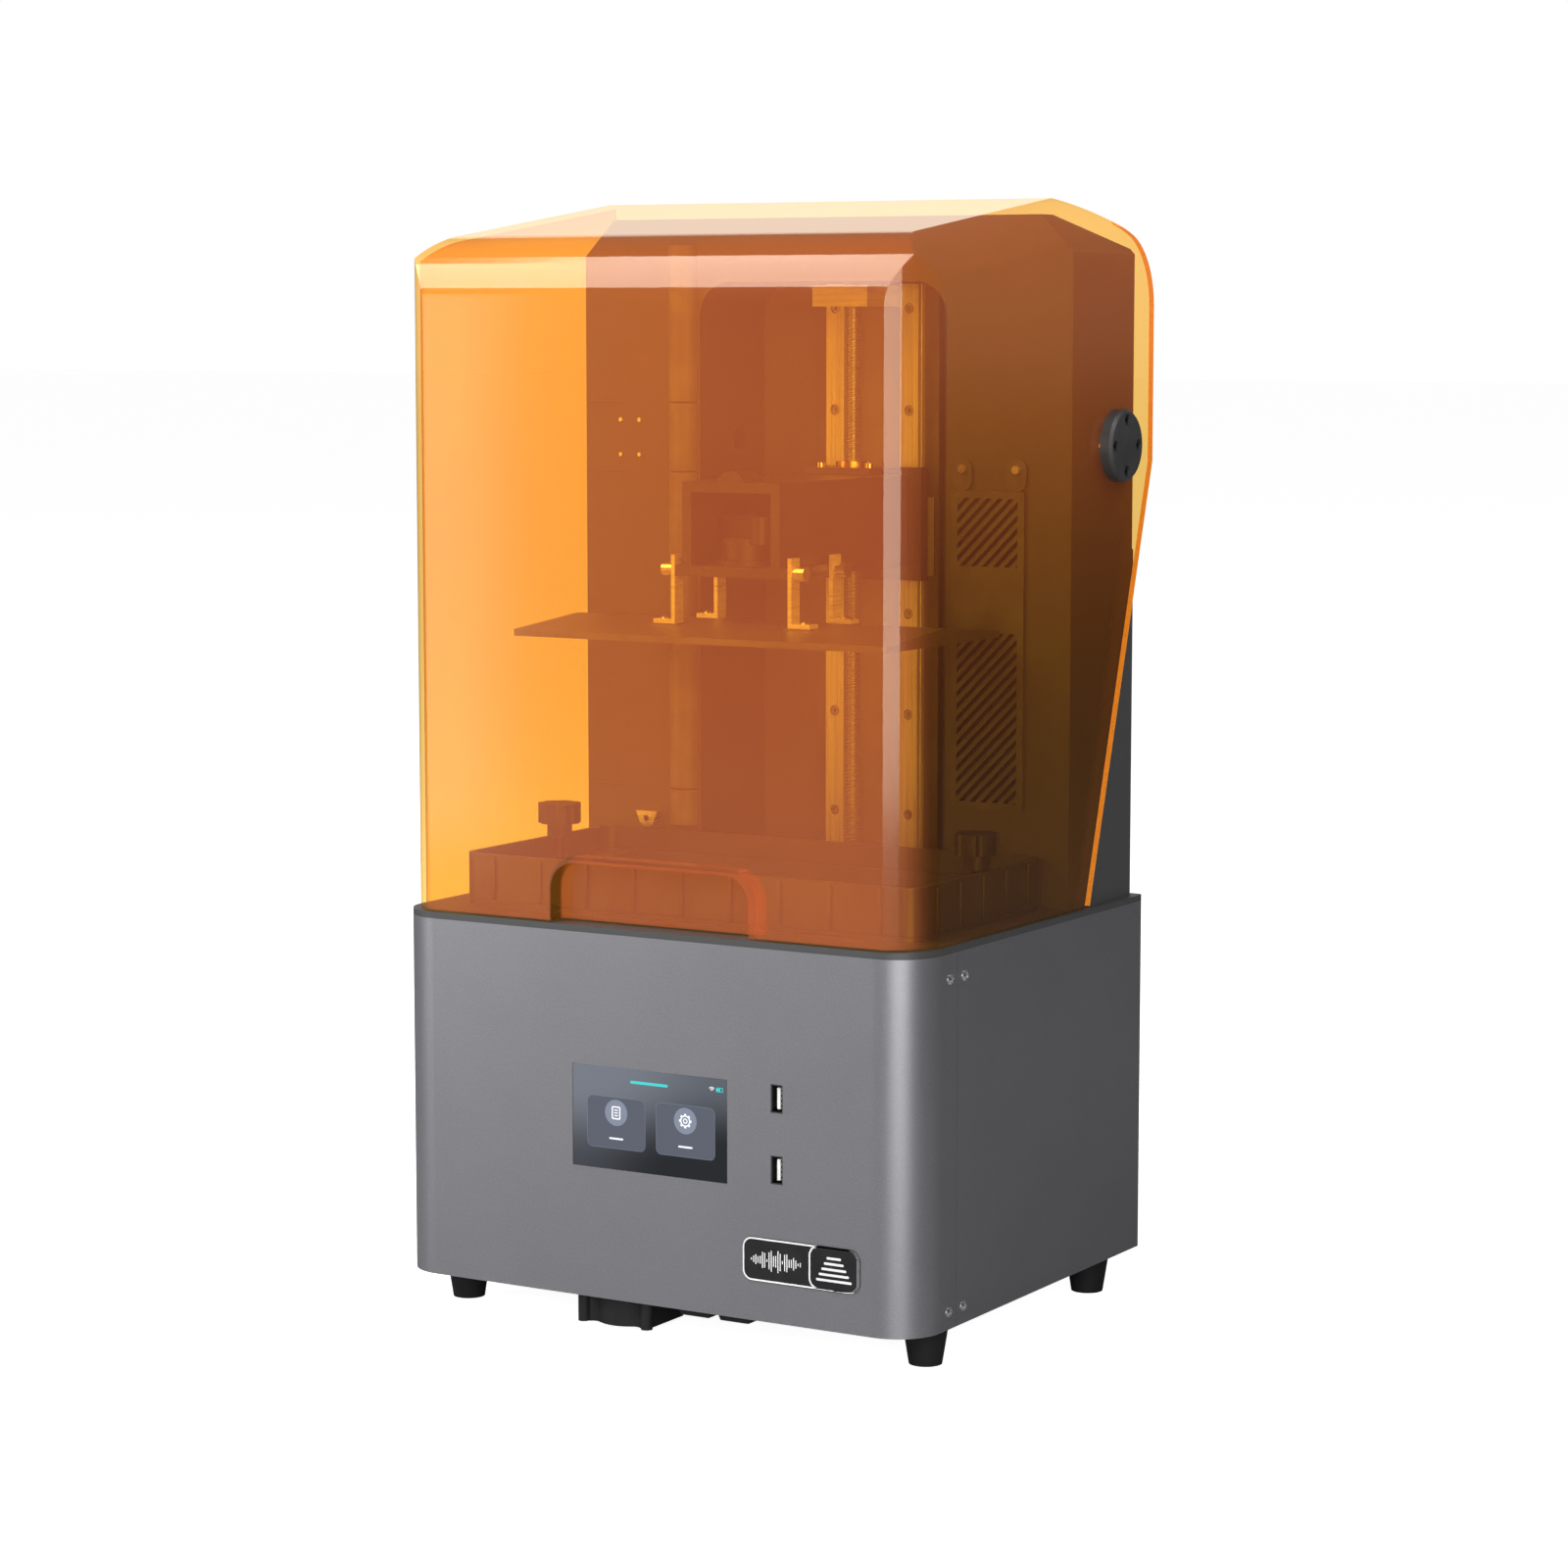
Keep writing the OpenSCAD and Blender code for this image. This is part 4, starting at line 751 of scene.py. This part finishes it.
class PRINTER_OT_column(bpy.types.Operator):
    """Paint the column and add its dots, joint marks and tabs"""

    bl_idname = "printer.column"
    bl_label = "Column"
    bl_options = {"REGISTER", "UNDO"}

    def execute(self, context):
        p = context.scene.printer
        paint = p.paint
        coat = powder_coat("column powder coat", paint.column, paint.flake, 0.48, 0.4)
        dress(coat, "column_shell")
        # Painted light: the channel's back wall takes a lighter copy of the column paint, standing in for light
        # falling on it.
        dress(powder_coat("channel coat with painted light", tone(paint.column, 1.8), paint.flake, 0.48, 0.3), "column_back")
        trim = moulded("column mouldings", tone(paint.column, 1.15), 0.5)
        # Painted highlight: the conduit takes a lighter copy of the column paint.
        dress(moulded("conduit", tone(paint.column, 2.2), 0.5), "column_rib")
        dress(trim, "vent_grille")
        dress(foam("carbon foam", (0.02, 0.02, 0.02)), "carbon_filter")
        dress(drawn_metal("spout steel", p.metal.steel), "feed_nozzle")
        low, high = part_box("column_shell")
        front = low.y
        dots = bmesh.new()
        for x in (-135.3, -122.4):
            for z in (474.3, 494.5):
                rod(dots, (x * MM, front, z * MM), (x * MM, front - 0.9 * MM, z * MM),
                    1.5 * MM, 20, 1.1 * MM)
        piece("column_dots", dots, drawn_metal("dot steel", p.metal.steel, (40.0, 900.0, 40.0)),
              "base")
        tabs = bmesh.new()
        grille_low, grille_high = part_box("vent_grille")
        tab_x, tab_z = grille_high.x - 5 * MM, grille_high.z + 9 * MM
        tile(tabs, 12 * MM, 18 * MM, 5.5 * MM, 1.4 * MM, (tab_x, front, tab_z))
        tile(tabs, 12 * MM, 18 * MM, 5.5 * MM, 1.4 * MM, (grille_low.x + 7 * MM, front, tab_z))
        strip_x = -(high.x - 2.5 * MM)
        for z in (280.0, 465.0, 505.0):
            box(tabs, (strip_x - 1 * MM, front - 0.7 * MM, (z - 0.6) * MM),
                (strip_x + 26 * MM, front, (z + 0.6) * MM), 0.2 * MM, 1)
        piece("column_tabs", tabs, trim, "base")
        heads = bmesh.new()
        for x in (tab_x, grille_low.x + 7 * MM):
            rod(heads, (x, front - 1.4 * MM, tab_z + 3 * MM), (x, front - 3.0 * MM, tab_z + 3 * MM),
                3.0 * MM, 28, 2.3 * MM)
        piece("grille_screws", heads, drawn_metal("grille screw steel", p.metal.steel, (40.0, 900.0, 40.0)),
              "base")
        return {"FINISHED"}


class PRINTER_OT_lift(bpy.types.Operator):
    """Finish the rails, slab, bearing and motor, and cut the lead screw's thread"""

    bl_idname = "printer.lift"
    bl_label = "Lift"
    bl_options = {"REGISTER", "UNDO"}

    def execute(self, context):
        p = context.scene.printer
        metal = p.metal
        ground = drawn_metal("ground steel", metal.steel, (900.0, 900.0, 12.0), 0.3, 0.3)
        dress(ground, "z_rails", "rail_blocks", "screw_bearing")
        milled = drawn_metal("milled aluminium", metal.aluminium, (30.0, 30.0, 500.0), 0.42, 0.5)
        dress(milled, "top_bearing_block", "motor_bracket", "screw_coupler")
        dress(blasted_metal("anodised slab", metal.slab, 0.45, 0.4), "z_back_plate")
        dress(drawn_metal("rail screw steel", tone(metal.steel, 0.5), (40.0, 900.0, 40.0), 0.35), "rail_screws")
        dress(moulded("motor lacquer", p.paint.black, 0.35), "z_motor")
        dress(drawn_metal("turned brass", metal.brass, (20.0, 20.0, 900.0), 0.25), "screw_nut")
        # Painted shade: the lead screw takes a darker copy of the steel, standing in for the shade it sits in.
        turned = drawn_metal("screw steel with painted shade", tone(metal.steel, 0.45), (60.0, 60.0, 900.0), 0.3, 0.6)
        dress(turned, "lead_screw")
        thread = piece("lead_screw_thread", self.thread(metal), turned, "screw", 50.0)
        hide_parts("lead_screw")
        return {"FINISHED"}

    @staticmethod
    def thread(metal):
        """The lead screw with its multiple thread, spun from one lead of its profile."""
        low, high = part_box("lead_screw")
        x, y = (low.x + high.x) / 2, (low.y + high.y) / 2
        radius = (high.x - low.x) / 2
        shaft = 2.5 * MM
        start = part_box("screw_coupler")[1].z - 12 * MM
        pitch = metal.thread_lead / metal.thread_starts
        bm = bmesh.new()
        points = []
        for k in range(metal.thread_starts):
            z = start + k * pitch
            for step, depth in ((0.0, 0.0), (0.35, 0.0), (0.5, 1.0), (0.85, 1.0)):
                points.append((radius - depth * metal.thread_depth, z + step * pitch))
        points.append((radius, start + metal.thread_lead))
        verts = [bm.verts.new((x + r, y, z)) for r, z in points]
        edges = [bm.edges.new(pair) for pair in zip(verts, verts[1:])]
        turns = int((high.z - start) / metal.thread_lead)
        steps = 20
        bmesh.ops.spin(bm, geom=verts + edges, cent=(x, y, 0.0), axis=(0, 0, 1),
                       dvec=(0.0, 0.0, metal.thread_lead / steps), angle=2 * math.pi * turns,
                       steps=steps * turns, use_merge=False, use_duplicate=False)
        bmesh.ops.remove_doubles(bm, verts=bm.verts, dist=0.02 * MM)
        thread_foot = start + metal.thread_lead
        thread_top = start + metal.thread_lead * (turns - 0.05)
        for z, way in ((thread_foot, -1), (thread_top, 1)):
            cut = bmesh.ops.bisect_plane(bm, geom=bm.verts[:] + bm.edges[:] + bm.faces[:],
                                         dist=1e-7, plane_co=(x, y, z), plane_no=(0, 0, way),
                                         clear_outer=True)["geom_cut"]
            bmesh.ops.contextual_create(bm, geom=[e for e in cut if isinstance(e, bmesh.types.BMEdge)])
        rod(bm, (x, y, low.z), (x, y, thread_foot), shaft, 24)
        rod(bm, (x, y, thread_top), (x, y, high.z), radius - metal.thread_depth, 24,
            bevel=0.3 * MM)
        return bm


# ---------------------------------------------------------------- platform and vat

class PRINTER_OT_platform(bpy.types.Operator):
    """Finish the carriage, arm, bracket, legs, build plate and clamp knob"""

    bl_idname = "printer.platform"
    bl_label = "Platform"
    bl_options = {"REGISTER", "UNDO"}

    def execute(self, context):
        p = context.scene.printer
        metal = p.metal
        dark = blasted_metal("dark anodised arm", metal.arm, 0.38, 0.6)
        dress(dark, "platform_arm", "leg_bracket", "carriage_plate")
        dress(drawn_metal("nickel legs", metal.bright, (40.0, 40.0, 700.0), 0.3, 0.3), "platform_legs")
        dress(drawn_metal("platform screws", metal.bright, (500.0, 500.0, 40.0), 0.22), "platform_screws")
        dress(blasted_metal("blasted build plate", metal.plate, 0.4, 0.7), "build_plate")
        dress(moulded("clamp knob", p.paint.black, 0.45), "platform_knob")
        return {"FINISHED"}


class PRINTER_OT_vat(bpy.types.Operator):
    """Finish the vat, film and thumb knobs and add the vat's ribs"""

    bl_idname = "printer.vat"
    bl_label = "Vat"
    bl_options = {"REGISTER", "UNDO"}

    def execute(self, context):
        p = context.scene.printer
        dark = blasted_metal("dark anodised vat", p.metal.vat, 0.36, 0.6)
        dress(dark, "vat_tray", "film_frame")
        dress(film("release film", (0.93, 0.95, 0.98), 0.3), "release_film")
        dress(moulded("thumb knobs", p.paint.black, 0.45), "vat_knob_left", "vat_knob_right")
        low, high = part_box("vat_tray")
        ribs = bmesh.new()
        top, foot = high.z - 1.5 * MM, low.z + 0.5 * MM
        for k in range(9):
            x = low.x + 22 * MM + (high.x - low.x - 44 * MM) * k / 8
            box(ribs, (x - 1.2 * MM, low.y - 1.2 * MM, foot), (x + 1.2 * MM, low.y + 0.2 * MM, top), 0.5 * MM)
        for k in range(5):
            y = low.y + 22 * MM + (high.y - low.y - 44 * MM) * k / 4
            for x, way in ((low.x, -1), (high.x, 1)):
                a, b = sorted((x + way * 1.2 * MM, x - way * 0.2 * MM))
                box(ribs, (a, y - 1.2 * MM, foot), (b, y + 1.2 * MM, top), 0.5 * MM)
        piece("vat_ribs", ribs, dark, "base")
        return {"FINISHED"}


# ---------------------------------------------------------------- inside and rear

class PRINTER_OT_inside(bpy.types.Operator):
    """Finish the light source, fan, boards and supply inside the base"""

    bl_idname = "printer.inside"
    bl_label = "Inside"
    bl_options = {"REGISTER", "UNDO"}

    def execute(self, context):
        p = context.scene.printer
        zinc = drawn_metal("zinc-plated sheet", (0.5, 0.5, 0.5), (60.0, 60.0, 60.0), 0.4)
        dress(zinc, "display_module", "light_housing", "power_supply")
        dress(circuit("circuit board"), "display_board", "main_board")
        dress(moulded("white board", (0.75, 0.75, 0.72), 0.4), "led_board")
        dress(drawn_metal("fin aluminium", p.metal.aluminium, (30.0, 400.0, 30.0), 0.4), "heat_sink")
        dress(moulded("fan plastic", p.paint.black, 0.5), "fan_frame", "fan_rotor")
        dress(moulded("printing screen", (0.008, 0.008, 0.010), 0.12, 400.0, 0.05), "light_screen")
        return {"FINISHED"}


class PRINTER_OT_rear(bpy.types.Operator):
    """Finish the mains inlet and the power switch"""

    bl_idname = "printer.rear"
    bl_label = "Rear"
    bl_options = {"REGISTER", "UNDO"}

    def execute(self, context):
        p = context.scene.printer
        dress(moulded("inlet plastic", p.paint.black, 0.4), "power_inlet", "switch_body")
        dress(moulded("switch red", (0.35, 0.02, 0.015), 0.3), "power_rocker")
        low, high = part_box("power_rocker")
        bm = bmesh.new()
        box(bm, (-62.4 * MM, high.y - 1.0 * MM, 63.0 * MM),
            (-61.6 * MM, high.y + 0.15 * MM, 65.5 * MM), 0.1 * MM, 1)
        piece("rocker_mark", bm, moulded("rocker mark white", (0.8, 0.8, 0.8), 0.4), "rocker")
        return {"FINISHED"}


# ---------------------------------------------------------------- stage

class PRINTER_OT_stage(bpy.types.Operator):
    """Set up the floor, the lights, the surroundings and the camera"""

    bl_idname = "printer.stage"
    bl_label = "Stage"
    bl_options = {"REGISTER", "UNDO"}

    def execute(self, context):
        p = context.scene.printer
        studio = p.studio
        scene = bpy.context.scene
        scene.view_settings.view_transform = "Standard"
        self.floor(studio)
        self.surroundings(studio, scene)
        self.softbox("key light", (-1.25, -1.40, 2.30), (0.0, 0.0, 0.40), 1.6, 1.9, studio.key)
        self.softbox("top light", (0.60, -0.02, 1.00), (0.18, 0.0, 0.50), 0.35, 0.35, studio.top)
        self.softbox("edge light", (1.50, -2.15, 0.62), (0.15, -0.12, 0.35), 1.7, 2.0, studio.edge)
        self.softbox("left light", (-1.62, -1.55, 0.25), (-0.15, -0.13, 0.30), 0.9, 1.5, studio.left)
        self.softbox("back light", (-1.12, 1.76, 1.30), (0.0, 0.0, 0.60), 1.8, 0.7, studio.back)
        self.camera(studio, scene)
        return {"FINISHED"}

    @staticmethod
    def floor(studio):
        bm = bmesh.new()
        bmesh.ops.create_grid(bm, x_segments=2, y_segments=2, size=30.0)
        mesh = bpy.data.meshes.new("floor")
        bm.to_mesh(mesh)
        bm.free()
        g = Finish("pale floor")
        mottle = g.noise(2.0, 3.0)
        tint = g.blend(mottle, tone(studio.floor, 0.995), studio.floor)
        seen = g.add("ShaderNodeLightPath").outputs["Is Camera Ray"]
        paper = g.add("ShaderNodeBsdfDiffuse", None, {0: tint}).outputs[0]
        dim = g.add("ShaderNodeBsdfDiffuse", None, {0: tone(studio.floor, 0.35)}).outputs[0]
        glow = g.add("ShaderNodeEmission", None, {0: (1.0, 1.0, 1.0), 1: 0.93}).outputs[0]
        both = g.add("ShaderNodeAddShader", None, {0: paper, 1: glow}).outputs[0]
        g.show(g.add("ShaderNodeMixShader", None, {0: seen, 1: dim, 2: both}).outputs[0])
        mesh.materials.append(g.material)
        obj = bpy.data.objects.new("floor", mesh)
        bpy.context.scene.collection.objects.link(obj)

    @staticmethod
    def surroundings(studio, scene):
        world = bpy.data.worlds.new("studio")
        scene.world = world
        world.use_nodes = True
        nodes, links = world.node_tree.nodes, world.node_tree.links
        nodes.clear()
        out = nodes.new("ShaderNodeOutputWorld")
        even = nodes.new("ShaderNodeBackground")
        even.inputs[0].default_value = (1.0, 1.0, 1.0, 1.0)
        even.inputs[1].default_value = studio.ambient
        light = nodes.new("ShaderNodeBackground")
        light.inputs[0].default_value = (1.0, 1.0, 1.0, 1.0)
        way = nodes.new("ShaderNodeTexCoord")
        part = nodes.new("ShaderNodeSeparateXYZ")
        fade = nodes.new("ShaderNodeMapRange")
        fade.interpolation_type = "SMOOTHSTEP"
        fade.inputs[1].default_value = -0.1
        fade.inputs[2].default_value = 0.6
        fade.inputs[3].default_value = studio.ambient
        fade.inputs[4].default_value = studio.backdrop
        links.new(way.outputs["Generated"], part.inputs[0])
        links.new(part.outputs[1], fade.inputs[0])
        links.new(fade.outputs[0], light.inputs[1])
        seen = nodes.new("ShaderNodeBackground")
        seen.inputs[0].default_value = (1.0, 1.0, 1.0, 1.0)
        seen.inputs[1].default_value = 1.0
        path = nodes.new("ShaderNodeLightPath")
        shiny = nodes.new("ShaderNodeMixShader")
        links.new(path.outputs["Is Glossy Ray"], shiny.inputs[0])
        links.new(even.outputs[0], shiny.inputs[1])
        links.new(light.outputs[0], shiny.inputs[2])
        mix = nodes.new("ShaderNodeMixShader")
        links.new(path.outputs["Is Camera Ray"], mix.inputs[0])
        links.new(shiny.outputs[0], mix.inputs[1])
        links.new(seen.outputs[0], mix.inputs[2])
        links.new(mix.outputs[0], out.inputs[0])

    @staticmethod
    def softbox(name, place, target, width, height, power):
        data = bpy.data.lights.new(name, "AREA")
        data.shape = "RECTANGLE"
        data.size = width
        data.size_y = height
        data.energy = power
        obj = bpy.data.objects.new(name, data)
        obj.location = place
        obj.rotation_euler = (Vector(target) - Vector(place)).to_track_quat("-Z", "Y").to_euler()
        bpy.context.scene.collection.objects.link(obj)

    @staticmethod
    def camera(studio, scene):
        data = bpy.data.cameras.new("camera")
        data.sensor_width = 36.0
        data.lens = studio.lens
        data.clip_end = 100.0
        obj = bpy.data.objects.new("camera", data)
        turn = Euler((math.radians(90) - studio.rise, 0.0, studio.turn))
        back = turn.to_matrix() @ Vector((0.0, 0.0, 1.0))
        obj.location = Vector(studio.aim) + back * studio.distance
        obj.rotation_euler = turn
        scene.collection.objects.link(obj)
        scene.camera = obj


# ---------------------------------------------------------------- panel and run

class PrinterSettings(bpy.types.PropertyGroup):
    """All the printer's settings."""

    paint: PointerProperty(type=PrinterPaint)
    cover: PointerProperty(type=PrinterCover)
    screen: PointerProperty(type=PrinterScreen)
    metal: PointerProperty(type=PrinterMetal)
    studio: PointerProperty(type=PrinterStudio)


OPERATORS = (PRINTER_OT_stage, PRINTER_OT_base, PRINTER_OT_ports, PRINTER_OT_display, PRINTER_OT_badge,
             PRINTER_OT_cover, PRINTER_OT_hinges, PRINTER_OT_column, PRINTER_OT_lift,
             PRINTER_OT_platform, PRINTER_OT_vat, PRINTER_OT_inside, PRINTER_OT_rear)


class PRINTER_PT_panel(bpy.types.Panel):
    """Lists the printer's operators"""

    bl_label = "Resin printer"
    bl_idname = "PRINTER_PT_panel"
    bl_space_type = "VIEW_3D"
    bl_region_type = "UI"
    bl_category = "Printer"

    def draw(self, context):
        for operator in OPERATORS:
            self.layout.operator(operator.bl_idname)


CLASSES = (PrinterPaint, PrinterCover, PrinterScreen, PrinterMetal, PrinterStudio, PrinterSettings,
           *OPERATORS, PRINTER_PT_panel)


def register():
    for cls in CLASSES:
        bpy.utils.register_class(cls)
    bpy.types.Scene.printer = PointerProperty(type=PrinterSettings)


def unregister():
    del bpy.types.Scene.printer
    for cls in reversed(CLASSES):
        bpy.utils.unregister_class(cls)


def main():
    register()
    for operator in OPERATORS:
        name = operator.bl_idname.split(".")[1]
        getattr(bpy.ops.printer, name)()
    bpy.context.view_layer.update()


if __name__ == "__main__":
    main()
